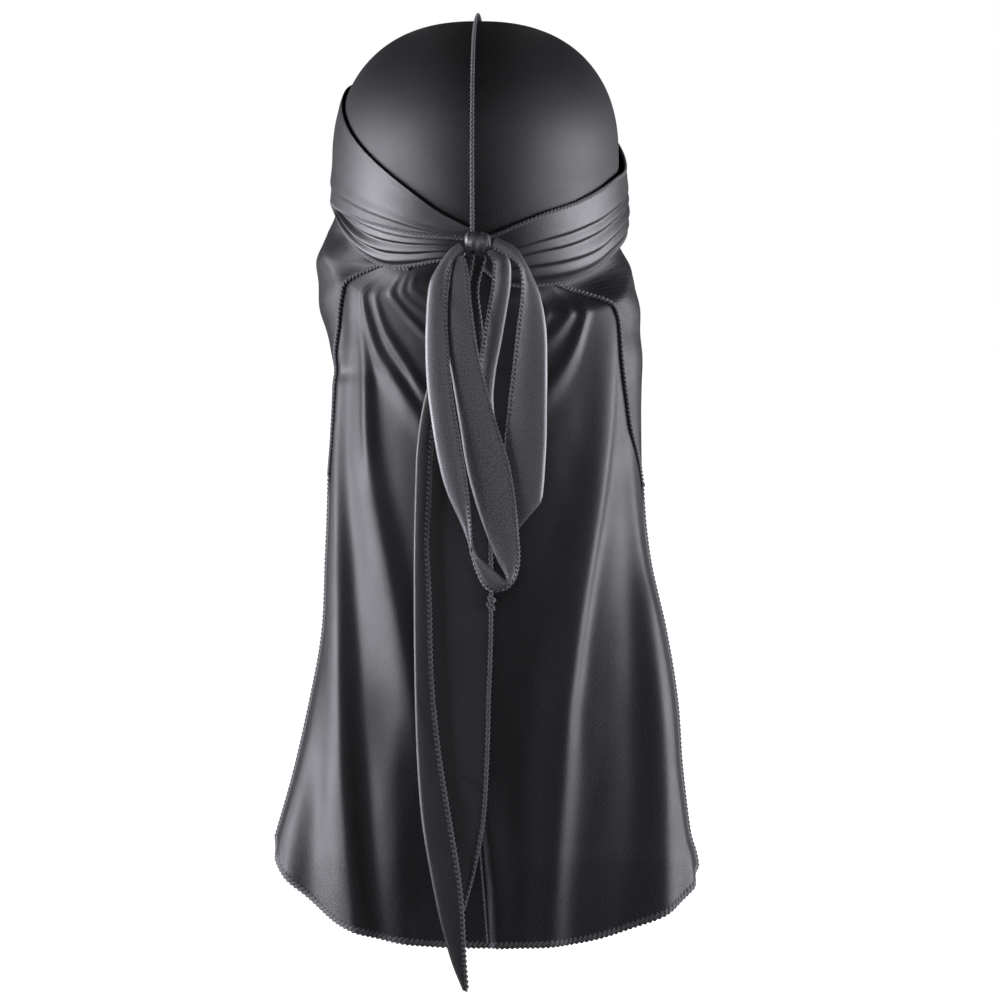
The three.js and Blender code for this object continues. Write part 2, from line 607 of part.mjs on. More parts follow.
// The knot, with grooves that run round it from side to side
function knot() {
  const positions = [];
  const indices = [];
  const power = (value) => Math.sign(value) * Math.abs(value) ** (2 / KNOT_POWER);
  const place = (angle, height) => {
    const lift = power(Math.sin(height));
    const spread = power(Math.cos(height));
    const groove = 1 - KNOT_GROOVE_DEPTH * (1 - Math.cos(KNOT_GROOVES * Math.PI * (lift + 1)));
    positions.push(
      KNOT_CENTRE.x + KNOT_HALF.x * spread * groove * power(Math.cos(angle)),
      KNOT_CENTRE.y + KNOT_HALF.y * spread * groove * power(Math.sin(angle)),
      KNOT_CENTRE.z + KNOT_HALF.z * lift,
    );
  };
  for (let row = 1; row < KNOT_ROWS; row += 1) {
    for (let column = 0; column < KNOT_COLUMNS; column += 1) {
      place(2 * Math.PI * column / KNOT_COLUMNS, Math.PI * (row / KNOT_ROWS - 0.5));
    }
  }
  const bottom = positions.length / 3;
  positions.push(KNOT_CENTRE.x, KNOT_CENTRE.y, KNOT_CENTRE.z - KNOT_HALF.z);
  const top = bottom + 1;
  positions.push(KNOT_CENTRE.x, KNOT_CENTRE.y, KNOT_CENTRE.z + KNOT_HALF.z);
  for (let column = 0; column < KNOT_COLUMNS; column += 1) {
    const next = (column + 1) % KNOT_COLUMNS;
    const last = (KNOT_ROWS - 2) * KNOT_COLUMNS;
    indices.push(bottom, next, column);
    indices.push(top, last + column, last + next);
    for (let row = 0; row < KNOT_ROWS - 2; row += 1) {
      const below = row * KNOT_COLUMNS;
      const above = below + KNOT_COLUMNS;
      indices.push(below + column, below + next, above + next);
      indices.push(below + column, above + next, above + column);
    }
  }
  return outwardGeometry(positions, indices);
}

function capeSide(turn) {
  return turn < 0 ? 'left' : 'right';
}

// How far all the folds stand out from the smooth cape
function capeFolds(turn, fall, across) {
  let folds = 0;
  for (const rows of CAPE_FOLDS) {
    const start = rows[0].fall;
    const apart = (across - lookUp(rows, 'fall', fall, 'across')) / lookUp(rows, 'fall', fall, 'width');
    const height = lookUp(rows, 'fall', fall, 'height');
    folds += height * ease(start - CAPE_FOLD_STARTS_ABOVE, start, fall) * Math.exp(-apart * apart);
  }
  for (const entry of CAPE_SAGS) {
    const reached = Math.abs(turn) / entry.reach;
    const line = entry.middle - CAPE_SAG_DROOP * reached * reached;
    const apart = (fall - line) / entry.width;
    folds += entry.height * Math.max(1 - reached ** 4, 0) * Math.exp(-apart * apart);
  }
  return folds * (1 - ease(CAPE_FOLDS_END, 1, Math.abs(Math.sin(radians(turn)))));
}

// A point of the hanging cape, before it is fitted to the cap; stand is outward from its middle
function capeHanging(turn, fall, stand) {
  const read = (column) => lookUp(CAPE_SECTIONS, 'fall', fall, column);
  const fold = read(`${capeSide(turn)}Fold`);
  const back = read('back');
  const side = read('side');
  const sine = Math.sin(radians(turn));
  const cosine = Math.cos(radians(turn));
  const out = stand + capeFolds(turn, fall, fold * sine);
  return new THREE.Vector3((fold + out) * sine, -side - (back - side + out) * cosine, -fall);
}

function capeTop(turn) {
  return lookUp(CROWN_EDGE, 'turn', Math.abs(turn), 'fall') + CAPE_SEAM_GAP;
}

function capeHem(turn) {
  const hem = turn < 0 ? CAPE_HEM_LEFT : CAPE_HEM_RIGHT;
  return CAPE_HEM_FALL - hem.rise * Math.abs(Math.sin(radians(turn))) ** hem.power;
}

// How freely the cape hangs at a point, from 0 under the bands to 1 some way below them
function capeFreedom(turn, fall) {
  const band = turn < 0 ? WRAP_LEFT_LOWER : WRAP_RIGHT;
  const leaves = lookUp(band.sections, 'turn', turn, 'low');
  return ease(0, CAPE_FREE_BELOW, fall - leaves);
}

// The cape lies on the head under the bands and hangs freely below their lower edges
function capePoint(turn, fall, stand) {
  const seated = overHead(turn, fall, WALL / 2 + stand);
  return seated.lerp(capeHanging(turn, fall, stand), capeFreedom(turn, fall));
}

// The two faces of a folded-back side, whose outward face lies against the cape
function capeFlapFaces(side, inFlap, down) {
  const rim = side * CAPE_SPREAD;
  const foldFall = mix(capeTop(rim), capeHem(rim), down);
  if (inFlap === 0) {
    const tip = WALL / lookUp(CAPE_SECTIONS, 'fall', foldFall, `${capeSide(side)}Fold`) * 180 / Math.PI;
    return [
      capePoint(rim - side * tip / 3, foldFall, CAPE_FLAP_GAP / 2),
      capePoint(rim + side * tip * 2 / 3, foldFall, CAPE_FLAP_GAP / 2),
    ];
  }
  const table = side < 0 ? CAPE_FLAP_LEFT : CAPE_FLAP_RIGHT;
  const edge = lookUp(table, 'foldFall', foldFall, 'edge');
  const edgeFall = lookUp(table, 'foldFall', foldFall, 'edgeFall');
  const reach = lookUp(CAPE_SECTIONS, 'fall', edgeFall, `${capeSide(side)}Fold`);
  const edgeTurn = Math.asin(Math.min(edge / (reach + CAPE_FLAP_GAP), 1)) * 180 / Math.PI;
  const flap = Math.max(CAPE_SPREAD - edgeTurn, CAPE_LEAST_FLAP);
  const turn = side * (CAPE_SPREAD - flap * inFlap);
  const fall = mix(foldFall, edgeFall, inFlap ** CAPE_FLAP_SLANT);
  const opened = CAPE_FLAP_OPEN * ease(CAPE_FLAP_OPENS_FROM, CAPE_FLAP_OPENS_TO, edgeFall)
    * ease(CAPE_LEAST_FLAP, CAPE_WIDE_FLAP, flap);
  const stand = CAPE_FLAP_GAP + CAPE_FLAP_LIFT * capeFreedom(turn, fall) + opened * inFlap;
  return [capePoint(turn, fall, stand - WALL / 2), capePoint(turn, fall, stand + WALL / 2)];
}

// From the left free edge round the left fold, across the back and round the right fold
function cape() {
  const columns = CAPE_COLUMNS + 2 * CAPE_FLAP_COLUMNS;
  const bodyPoint = (share, down) => {
    const turn = mix(-CAPE_SPREAD, CAPE_SPREAD, share);
    return capePoint(turn, mix(capeTop(turn), capeHem(turn), down), 0);
  };
  const bodyFaces = clothFaces(bodyPoint, WALL);
  return closedSheet(columns, CAPE_ROWS, (along, rowShare) => {
    const down = rowShare ** CAPE_ROW_CROWDING;
    const column = Math.round(along * columns);
    const fromEdge = Math.min(column, columns - column);
    if (fromEdge > CAPE_FLAP_COLUMNS) {
      return bodyFaces((column - CAPE_FLAP_COLUMNS) / CAPE_COLUMNS, down);
    }
    const side = along < 0.5 ? -1 : 1;
    return capeFlapFaces(side, (1 - fromEdge / CAPE_FLAP_COLUMNS) ** CAPE_FLAP_CROWDING, down);
  });
}

// Smooth satin on the outside of every piece
function satin(colour, roughness) {
  return new THREE.MeshStandardMaterial({ color: colour, roughness, metalness: 0 });
}

function piece(name, geometry, material) {
  const mesh = new THREE.Mesh(geometry, material);
  mesh.name = name;
  return mesh;
}

const BLACK_SATIN = '#1f1f22';
const BLACK_THREAD = '#2a2a2d';

const durag = new THREE.Group();
durag.add(
  piece('crown_left', crownHalf(-1), satin(BLACK_SATIN, 0.45)),
  piece('crown_right', crownHalf(1), satin(BLACK_SATIN, 0.45)),
  piece('centre_seam', centreSeam(), satin(BLACK_THREAD, 0.7)),
  piece('wrap_left_upper', wrapBand(WRAP_LEFT_UPPER), satin(BLACK_SATIN, 0.4)),
  piece('wrap_left_lower', wrapBand(WRAP_LEFT_LOWER), satin(BLACK_SATIN, 0.4)),
  piece('wrap_right', wrapBand(WRAP_RIGHT), satin(BLACK_SATIN, 0.4)),
  piece('knot', knot(), satin(BLACK_SATIN, 0.4)),
  piece('bow_loop_left', ribbon(LOOP_LEFT), satin(BLACK_SATIN, 0.4)),
  piece('bow_loop_right', ribbon(LOOP_RIGHT), satin(BLACK_SATIN, 0.4)),
  piece('tail_long', ribbon(TAIL_LONG), satin(BLACK_SATIN, 0.4)),
  piece('tail_short', ribbon(TAIL_SHORT), satin(BLACK_SATIN, 0.4)),
  piece('cape', cape(), satin(BLACK_SATIN, 0.42)),
);

export default durag;
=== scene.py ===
import math

import bpy
import numpy as np
from bpy.props import FloatProperty, FloatVectorProperty, IntProperty, PointerProperty
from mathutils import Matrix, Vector


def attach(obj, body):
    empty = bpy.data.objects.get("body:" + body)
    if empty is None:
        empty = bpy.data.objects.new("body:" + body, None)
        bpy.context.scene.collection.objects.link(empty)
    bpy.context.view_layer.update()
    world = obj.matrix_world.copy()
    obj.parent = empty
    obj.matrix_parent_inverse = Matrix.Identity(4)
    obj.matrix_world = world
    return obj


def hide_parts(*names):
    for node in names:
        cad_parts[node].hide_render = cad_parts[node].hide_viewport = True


bl_info = {
    "name": "Satin Durag",
    "version": (1, 0, 0),
    "blender": (4, 5, 0),
    "location": "View3D > Sidebar > Durag",
    "description": "Dresses a tied satin durag with its bow, tails and long cape",
    "category": "Add Mesh",
}

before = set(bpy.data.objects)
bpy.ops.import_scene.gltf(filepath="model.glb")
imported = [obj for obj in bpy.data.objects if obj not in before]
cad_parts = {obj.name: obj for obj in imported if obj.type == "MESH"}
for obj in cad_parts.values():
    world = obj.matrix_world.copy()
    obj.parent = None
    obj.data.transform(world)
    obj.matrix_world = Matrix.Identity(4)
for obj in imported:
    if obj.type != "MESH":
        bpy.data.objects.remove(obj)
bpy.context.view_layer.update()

# Lengths in the tables are millimetres, turned to Blender's metres when a mesh is made.
# Turns are degrees round the head from the middle of its back, plus towards the wearer's right.
# A fall is how far a point lies below the top of the cap's inner face.
MILLIMETRE = 0.001

HEAD_HALF_WIDTH = 82
HEAD_HALF_DEPTH = 97
DOME_HEIGHT = 80
DOME_POWER = 2.35
NAPE_NARROWING = 0.17
SIDE_NARROWING = 0.03
NARROWING_DEPTH = 60
DOME_ARC = 140
CROWN_WALL = 1.2


def section_table(names, *rows):
    """A table written row by row, kept as one tuple of numbers for each named column."""
    return dict(zip(names.split(), zip(*rows)))


# How far down the cap's edge lies, by the turn
CROWN_EDGE = section_table(
    "turn fall",
    (0, 129),
    (30, 130),
    (60, 124),
    (90, 114),
    (120, 97),
    (150, 82),
    (180, 77),
)

# The centre seam stands up from the cap as a thin fin with a twisted thread over its top
SEAM_FOOT = 1.4
SEAM_HEIGHT = 3.2
SEAM_FRONT_FALL = 74
SEAM_BACK_FALL = 126

# How slim its thread is along its length, from the front to the back
SEAM_SLIM = ((0, 0.36, 0.5, 0.62, 1), (0.8, 0.55, 0.5, 0.85, 1))

# The cloth lies a little outside the middle of the wall that stands in for it. It is drawn in by
# small puckers beside the seam, whose wave is in millimetres a radian, and it is slightly uneven
# all over.
CROWN_MIDDLE = 0.62
CROWN_UNEVEN = 0.35
PUCKER_HEIGHT = 0.25
PUCKER_WAVE = 2.1
PUCKER_REACH = 7.0

# Each band's edges and how far its cloth stands off the head at them, by the turn
WRAP_LEFT_UPPER = section_table(
    "turn high low lift flare",
    (-0.8, 118.5, 124.5, 2.4, 4.2),
    (-14, 109, 123, 2.4, 4.8),
    (-27, 96, 121, 2.4, 5),
    (-44, 79.5, 116.5, 2.4, 5.2),
    (-56, 68, 113, 2.5, 5.2),
    (-72, 53.5, 109, 2.6, 5),
    (-90, 41, 105, 2.8, 4.8),
    (-120, 36, 92, 2.8, 4.2),
    (-150, 36, 80, 3, 4.2),
    (-170, 37, 75, 4.2, 4.2),
    (-188, 38, 74, 4.2, 4.2),
)
WRAP_LEFT_LOWER = section_table(
    "turn high low lift flare",
    (-0.8, 125.2, 136, 2.4, 2.8),
    (-14, 121, 137, 2.4, 3),
    (-31, 117.5, 140.5, 2.4, 3.5),
    (-44, 113.5, 140.5, 2.4, 4.5),
    (-56, 110, 133, 2.6, 6),
    (-65, 107.5, 122, 2.8, 6.6),
    (-75, 105, 110.5, 3.2, 6),
    (-90, 101, 105.5, 3.8, 4.4),
    (-104, 96.5, 101, 3.2, 3.4),
    (-116, 91, 95, 2.4, 2.6),
)
WRAP_RIGHT = section_table(
    "turn high low lift flare",
    (0.8, 123.5, 136, 2.4, 2.8),
    (8, 122.5, 145, 2.4, 3),
    (18, 117, 151, 2.4, 3.4),
    (31, 110, 151.5, 2.4, 4.4),
    (46, 104, 149.5, 2.6, 5.6),
    (60, 97, 144.5, 3.2, 6),
    (72, 91, 135.5, 4, 6.4),
    (90, 84.5, 124, 4.8, 6.8),
    (120, 62, 104, 3, 3),
    (150, 44, 86, 2.4, 2.4),
    (184, 37, 75, 2.4, 2.4),
)

# Pleats of a band: where each ridge runs between the upper edge, 0, and the lower edge, 1,
# its width above and below the ridge as shares of the band, and its height in millimetres
PLEATS_LEFT_UPPER = (
    (0.02, 0.05, 0.10, 0.5),
    (0.42, 0.30, 0.20, 0.7),
    (0.80, 0.10, 0.04, 0.7),
    (0.97, 0.06, 0.05, 0.5),
)
PLEATS_LEFT_LOWER = (
    (0.20, 0.10, 0.06, 0.9),
    (0.38, 0.12, 0.04, 1.6),
    (0.60, 0.14, 0.05, 1.9),
    (0.83, 0.14, 0.05, 1.5),
)
PLEATS_RIGHT = (
    (0.16, 0.16, 0.12, 0.6),
    (0.34, 0.14, 0.035, 1.5),
    (0.50, 0.12, 0.035, 1.7),
    (0.68, 0.14, 0.04, 1.9),
    (0.86, 0.12, 0.05, 1.3),
)

KNOT_CENTRE = (3.4, -98.6, -127)
KNOT_HALF = (7.6, 6.6, 6.0)
KNOT_SQUEEZE = 0.06
KNOT_TILT = 0.7

# The knot's pleats: how far across each crest lies, its width and its height, as shares
KNOT_PLEATS = (
    (-0.72, 0.16, 0.35),
    (-0.3, 0.2, 0.5),
    (0.2, 0.2, 0.55),
    (0.66, 0.16, 0.4),
)

# Each ribbon's folded edge and open, overlocked edge as seen from behind, section by section,
# with the distance behind the middle of the head
LOOP_LEFT = section_table(
    "fold fold_fall open open_fall back",
    (-7.4, 128.1, -4.5, 131, 101),
    (-13.1, 132.7, -9.6, 135.6, 102.4),
    (-20, 142.6, -12.8, 142, 103.4),
    (-24.3, 152.4, -13.9, 151.2, 104.2),
    (-25.9, 169.7, -14.6, 170.9, 105.4),
    (-26.2, 190.6, -13.6, 190.6, 106.6),
    (-25.2, 210.3, -12, 210.3, 107.8),
    (-22.7, 230, -9.1, 230, 108.8),
    (-19.2, 250.8, -5.4, 250.8, 109.4),
    (-14.2, 270.5, -2.4, 270.5, 109.8),
    (-5.9, 289.1, -0.7, 289.1, 109.8),
    (-1, 301.3, 0.2, 302.4, 109.4),
    (3.9, 308.8, 3.3, 315.8, 108.8),
    (12.5, 316.4, 9.1, 326.8, 108.2),
    (18.9, 321.6, 17.7, 328, 107.4),
    (20, 319.9, 24.6, 322.2, 106.6),
    (14.8, 310.1, 27.3, 310.1, 105.8),
    (7.8, 292.7, 26.3, 292.7, 105.4),
    (1.5, 273.6, 24.4, 273.6, 105.2),
    (-3.2, 253.9, 20.8, 253.9, 105.2),
    (-6, 235.9, 14.7, 234.7, 105.2),
    (-9.8, 212.7, 8.1, 211.5, 105),
    (-13, 190.7, 2.9, 189.5, 104.6),
    (-13.7, 167.5, -0.4, 166.3, 103.6),
    (-12.4, 147.8, -2.4, 146.7, 102),
    (-10.3, 135.7, -4.8, 135.1, 100.4),
)
LOOP_RIGHT = section_table(
    "fold fold_fall open open_fall back",
    (14.6, 131.1, 8.8, 132.3, 99.6),
    (21.5, 137.5, 12.8, 138.7, 98.8),
    (22.3, 150.3, 12.2, 151.5, 97.6),
    (20, 166.6, 9.8, 166.6, 97),
    (16.8, 185.1, 6.9, 184, 96.8),
    (13.3, 203.7, 4.3, 202.5, 96.8),
    (12.2, 221.1, 4.1, 221.7, 96.8),
    (15.6, 239.6, 6.4, 242, 97),
    (23.2, 257, 10.4, 261.7, 97.4),
    (33, 267.4, 15.1, 279.6, 98),
    (38.6, 274.9, 20.3, 294.1, 99.4),
    (40.3, 276, 22.4, 296.9, 101),
    (41.2, 269.6, 20.4, 289.4, 101.8),
    (42, 259.2, 19.3, 273.1, 102),
    (43, 240.6, 19.6, 248.7, 102.2),
    (43.2, 220.9, 22.2, 219.7, 102.6),
    (43.4, 200, 24.5, 200, 103),
    (42.9, 177.9, 27.1, 176.8, 103.2),
    (39.8, 158.8, 29.4, 158.2, 103.2),
    (35.2, 147.2, 29.4, 146.6, 103),
    (30.8, 138.5, 27.1, 139.1, 102.6),
    (25, 130.4, 20.4, 134.2, 102),
    (14, 124.6, 11.7, 129.9, 101.4),
)
TAIL_LONG = section_table(
    "fold fold_fall open open_fall back",
    (-4, 133.4, 1.2, 134, 98.6),
    (-9.8, 152.1, -2.3, 152.1, 96.6),
    (-15.1, 172.4, -6.4, 172.4, 95),
    (-21, 195.7, -12.3, 195.7, 94),
    (-27.9, 220, -20.1, 220, 93.6),
    (-31.8, 245.6, -23.6, 245.6, 93.4),
    (-32.9, 271.1, -24.7, 271.1, 93.4),
    (-33.6, 303, -26.2, 303, 93.4),
    (-33.7, 334.9, -24.7, 334.9, 93.6),
    (-33.3, 378.9, -23.6, 378.9, 94.2),
    (-32, 423, -19.5, 421.8, 95.2),
    (-29, 462.4, -13.3, 461.2, 96.6),
    (-23.7, 494.8, -8.1, 492.5, 98),
    (-18.2, 521.5, -5.4, 518, 98.8),
    (-11.8, 544.7, -4.3, 542.3, 98.8),
    (-5.2, 561.5, -2.8, 562.7, 98.2),
)
TAIL_SHORT = section_table(
    "fold fold_fall open open_fall back",
    (-2.4, 135.3, 8.1, 135.3, 95.6),
    (-5.9, 155.1, 3.4, 154.5, 93.4),
    (-11.8, 178.4, 5.6, 177.2, 91.6),
    (-17.6, 207.4, 7.9, 207.4, 90.4),
    (-22.3, 242.2, 9.6, 242.2, 89.8),
    (-25.8, 282.8, 10.8, 282.8, 89.6),
    (-27.8, 323.4, 11.3, 323.4, 89.6),
    (-28.1, 358.2, 11.1, 358.2, 89.8),
    (-27.5, 394.2, 9.9, 394.2, 90.4),
    (-26, 426, 9.1, 426, 91.4),
    (-21, 459.6, 6.8, 463.7, 92.8),
    (-14.6, 486.8, 1.1, 493.2, 94),
    (-7, 514.1, -5.3, 517, 95),
)

# The cape's sections: how far out its side folds lie, and how far back its middle and sides hang
CAPE_SECTIONS = section_table(
    "fall left_fold right_fold back side",
    (109, 86, 82, 86, 0),
    (119, 87.6, 84, 83, 1),
    (131, 90.6, 87, 79, 3),
    (141, 93.6, 89, 75, 6),
    (153, 93.4, 92, 71, 8),
    (168, 91, 94, 69, 10),
    (181, 87.6, 95, 69, 12),
    (194, 84, 96, 69.6, 13.6),
    (204, 82, 96, 70, 14.4),
    (212, 83, 95.6, 71, 15),
    (232, 83.6, 95.2, 73, 17),
    (268, 85.4, 95.6, 76, 20),
    (315, 87.6, 100, 79, 23),
    (357, 89.4, 109.6, 81, 26),
    (398, 96.6, 116.4, 83, 28),
    (443, 106.6, 119.6, 84.6, 31),
    (476, 116, 123.6, 85.6, 32.6),
    (490, 120.4, 128, 86, 33.4),
    (540, 133, 136, 86, 36),
)

# Where each folded-back side of the cape ends in its free edge, by the fall of its fold
CAPE_FLAP_LEFT = section_table(
    "fold_fall edge edge_fall",
    (114, 48, 142.4),
    (121, 53, 142.2),
    (128, 59, 141.8),
    (134, 66, 140.2),
    (139, 71, 141),
    (143, 74, 143.4),
    (148, 76, 147),
    (156, 77, 155),
    (167, 78.4, 166),
    (178, 79.2, 177.5),
    (189, 80.6, 188.5),
    (204, 81.9, 203.6),
    (226, 82.4, 225.6),
    (250, 84.5, 249.6),
    (285, 90, 285),
    (540, 137, 540),
)
CAPE_FLAP_RIGHT = section_table(
    "fold_fall edge edge_fall",
    (114, 50, 148.6),
    (124, 57.6, 148.8),
    (133, 62.6, 150.5),
    (142, 68.4, 153.9),
    (150, 74.3, 157.7),
    (158, 80.1, 164.6),
    (169, 83.4, 173),
    (184, 84.9, 184.6),
    (196, 85.9, 196),
    (210, 87.8, 210.4),
    (225, 89.8, 225),
    (249, 92.7, 249),
    (272, 96.8, 272),
    (290, 101, 290),
    (540, 141, 540),
)

# The share of the cape's columns that each folded-back side takes
CAPE_FLAP_SHARE = 0.14

# The turn at which the cape folds back, and how far its edge runs past it where it no longer does
CAPE_SPREAD = 90
CAPE_EDGE_PAST = 3.0
CAPE_PAST_STAND = 0.6

# How far a folded-back side stands off the cape, how much more it opens and between which falls,
# and between which falls it ends
CAPE_FLAP_GAP = 1.5
CAPE_FLAP_OPEN = 0.6
CAPE_FLAP_OPENS = (142, 160)
CAPE_FLAP_ENDS = (235, 300)

# The small ripples in the folded-back sides, with their wave in millimetres a radian, and how much
# of the gap their free edges close again
FLAP_RIPPLE = 1.1
FLAP_RIPPLE_WAVE = 5.2
FLAP_SETTLING = 0.45

# How far the cape reaches up under the cap's edge and stands off the head, how far above its
# first section a fold begins, and how uneven the cloth is between its folds
CAPE_TUCK = 3
CAPE_SEAT = 1.55
CAPE_FOLD_LEAD = 40
CAPE_UNEVEN = 0.6

# The cape hangs free this far below the bands, down to a hem that rises towards each side
CAPE_FREE_BELOW = 20
CAPE_HEM_FALL = 538
CAPE_HEM_LEFT = (57, 2.6)
CAPE_HEM_RIGHT = (41.5, 3.5)

# Folds of the cape, as ridges: sideways place, widths to the left and right of the crest, and
# height, at a few falls
CAPE_FOLDS = (
    section_table(
        "fall x left right height",
        (160, -77, 7, 3, 1.5),
        (240, -78, 9, 3.5, 4),
        (340, -75, 12, 4, 7),
        (440, -71, 18, 6, 9),
        (538, -64, 22, 9, 10),
    ),
    section_table(
        "fall x left right height",
        (380, -91, 10, 6, 0),
        (430, -96, 12, 7, 3),
        (470, -102, 14, 8, 6),
        (510, -107, 15, 9, 6),
    ),
    section_table(
        "fall x left right height",
        (190, -64, 12, 5, 0),
        (260, -59.5, 14, 6, 4),
        (320, -47.5, 14, 7, 5.5),
        (380, -37.5, 12, 7, 4),
        (440, -33.5, 10, 8, 0),
    ),
    section_table(
        "fall x left right height",
        (400, -46, 12, 8, 0),
        (450, -44, 14, 9, 3.5),
        (500, -42, 15, 10, 5.5),
        (538, -40, 16, 10, 6),
    ),
    section_table(
        "fall x left right height",
        (170, 80, 9, 4, 1),
        (240, 75.5, 10, 5, 3.5),
        (310, 64.5, 14, 6, 6),
        (390, 53.5, 16, 7, 6.5),
        (450, 48.5, 16, 9, 5.5),
        (538, 42.5, 14, 10, 5),
    ),
    section_table(
        "fall x left right height",
        (230, 91, 4, 8, 0),
        (300, 95, 5, 9, 4),
        (390, 103, 7, 12, 8),
        (460, 106, 9, 14, 9),
        (538, 105, 12, 14, 9),
    ),
    section_table(
        "fall x left right height",
        (430, 118, 6, 8, 0),
        (470, 121, 7, 8, 4),
        (520, 124, 8, 8, 5),
    ),
    section_table(
        "fall x left right height",
        (440, 7, 2.2, 9, 0),
        (470, 8.5, 2.2, 10, 2.6),
        (500, 11.5, 2.2, 11, 3.4),
        (538, 13.5, 2.2, 12, 3.6),
    ),
    section_table(
        "fall x left right height",
        (160, -68.5, 3.4, 2.2, 0),
        (200, -62.3, 4, 2.4, 2.6),
        (240, -59.6, 4, 2.6, 2.4),
        (270, -57, 4, 3, 0),
    ),
)

# Sagging folds that run from where the cape is held under each band down towards the middle:
# the fall of each crest across the cape, its half-widths above and below, and its height
CAPE_SWAGS = (
    (2, 1.4, section_table(
        "x fall height",
        (-60, 140, 0),
        (-53.6, 151.7, 1.8),
        (-47.4, 160.4, 2.4),
        (-38.5, 171.2, 2.6),
        (-28, 181.9, 2.4),
        (-16.4, 190, 2),
        (0, 195, 0),
    )),
    (1.8, 1.3, section_table(
        "x fall height",
        (-53, 140, 0),
        (-50, 147, 1),
        (-36, 164.4, 1.5),
        (-21, 173, 1.5),
        (-8, 178, 1),
        (2, 180, 0),
    )),
    (1.8, 1.3, section_table(
        "x fall height",
        (-48, 141, 0),
        (-45.5, 144.8, 1.2),
        (-36.8, 155.2, 1.8),
        (-27, 162.2, 2),
        (-16.5, 168, 1.6),
        (-2, 171.5, 0),
    )),
    (5, 8, section_table(
        "x fall height",
        (-67, 150, 0),
        (-65, 160.4, 2.5),
        (-61.4, 175.5, 3.6),
        (-55.2, 193.5, 4.2),
        (-46.4, 206.8, 4.2),
        (-37.5, 220, 4),
        (-26, 236, 2.6),
        (-12, 246, 0),
    )),
    (4.5, 3.5, section_table(
        "x fall height",
        (-60, 152, 0),
        (-57, 165, 2),
        (-51.7, 180, 3.2),
        (-44.6, 191.6, 3.8),
        (-37.5, 202, 3.8),
        (-28.8, 215.6, 3.2),
        (-14, 226, 0),
    )),
    (2.6, 1.8, section_table(
        "x fall height",
        (8, 190, 0),
        (18.3, 187.1, 1.4),
        (32.8, 180.2, 2),
        (42, 170.9, 2.2),
        (47.8, 161, 2),
        (53.6, 151.7, 1.2),
        (58, 146, 0),
    )),
    (4, 3.4, section_table(
        "x fall height",
        (6, 202, 0),
        (15.4, 199.3, 2),
        (29.9, 194.6, 3.2),
        (43.3, 184.8, 3.6),
        (51.2, 176, 3.4),
        (58.9, 163.3, 2.8),
        (62.4, 152.9, 1.6),
        (65, 148, 0),
    )),
    (5.5, 7, section_table(
        "x fall height",
        (12, 228, 0),
        (24, 224.8, 2.2),
        (38.6, 216.7, 4),
        (50.2, 202.8, 4.4),
        (59.5, 184.2, 4.2),
        (64.7, 166.8, 3.4),
        (67.6, 157, 2),
        (70, 150, 0),
    )),
)

SWAG_DEPTH = 0.6
SWAG_WIDER_ABOVE = 1.3
SWAG_WIDER_UNDER = 1.5

# The thread ropes: their corners and rings for each stitch, and their two strands' shape and
# how slim their ends are, as shares of their half width
ROPE_SIDES = 10
ROPE_RINGS = 6
ROPE_CORE = 0.5
ROPE_LOBE = 0.6
ROPE_END = 0.35

# How high the flatter overlocks stand, as a share of the stitch's half width
STITCH_FLATNESS = 0.62

# How far inside an edge its cloth's direction is read, as a share of the cloth
EDGE_STEP = 0.012

# Points along and across each kind of cloth
CROWN_GRID = (96, 64)
SEAM_GRID = (180, 5)
BAND_GRID = (200, 90)
FOLDED_RIBBON_GRID = (260, 61)
OPEN_RIBBON_GRID = (260, 34)
KNOT_GRID = (96, 56)

# How far a pleat wanders across its band, as a share of the band's width
PLEAT_DRIFT = 0.03

# How far apart the two layers of a folded ribbon lie, how much of its width the fold's rounding
# takes, and the share of its length between the points that give its direction
RIBBON_GAP = 1.5
RIBBON_ROUND = 0.12
RIBBON_STEP = 0.004

# How far the bow's loops bulge in their middle
LOOP_BULGE = 1.4

# How much longer the stitches of the cape's hem and of the free ends are than the other edges'
HEM_STRETCH = 1.15


def radians(degrees):
    return np.radians(degrees)


def mix(start, end, share):
    return start + (end - start) * share


def ease(start, end, value):
    share = np.clip((value - start) / (end - start), 0, 1)
    return share * share * (3 - 2 * share)


def look_up(table, key, value, column):
    """A smooth curve through one column of a table, read at its key column."""
    keys = np.asarray(table[key], dtype=float)
    values = np.asarray(table[column], dtype=float)
    if keys[1] < keys[0]:
        keys = keys[::-1]
        values = values[::-1]
    slopes = np.empty_like(values)
    slopes[1:-1] = (values[2:] - values[:-2]) / (keys[2:] - keys[:-2])
    slopes[0] = (values[1] - values[0]) / (keys[1] - keys[0])
    slopes[-1] = (values[-1] - values[-2]) / (keys[-1] - keys[-2])
    at = np.clip(value, keys[0], keys[-1])
    index = np.clip(np.searchsorted(keys, at, side="right") - 1, 0, len(keys) - 2)
    span = keys[index + 1] - keys[index]
    share = (at - keys[index]) / span
    square = share * share
    cube = square * share
    return (
        (2 * cube - 3 * square + 1) * values[index]
        + (cube - 2 * square + share) * span * slopes[index]
        + (3 * square - 2 * cube) * values[index + 1]
        + (cube - square) * span * slopes[index + 1]
    )


def along_curve(points, share):
    """A smooth curve through evenly counted points, read at shares from 0 to 1."""
    keys = np.linspace(0, 1, len(points))
    return look_up({"at": keys, "value": points}, "at", share, "value")


def ridge(value, crest, before, after):
    """A fold's height from 0 to 1, with its own slope on each side of the crest."""
    apart = value - crest
    width = np.where(apart < 0, before, after)
    return np.exp(-np.square(apart / width))


def stack(x, y, z):
    return np.stack(np.broadcast_arrays(x, y, z), axis=-1)


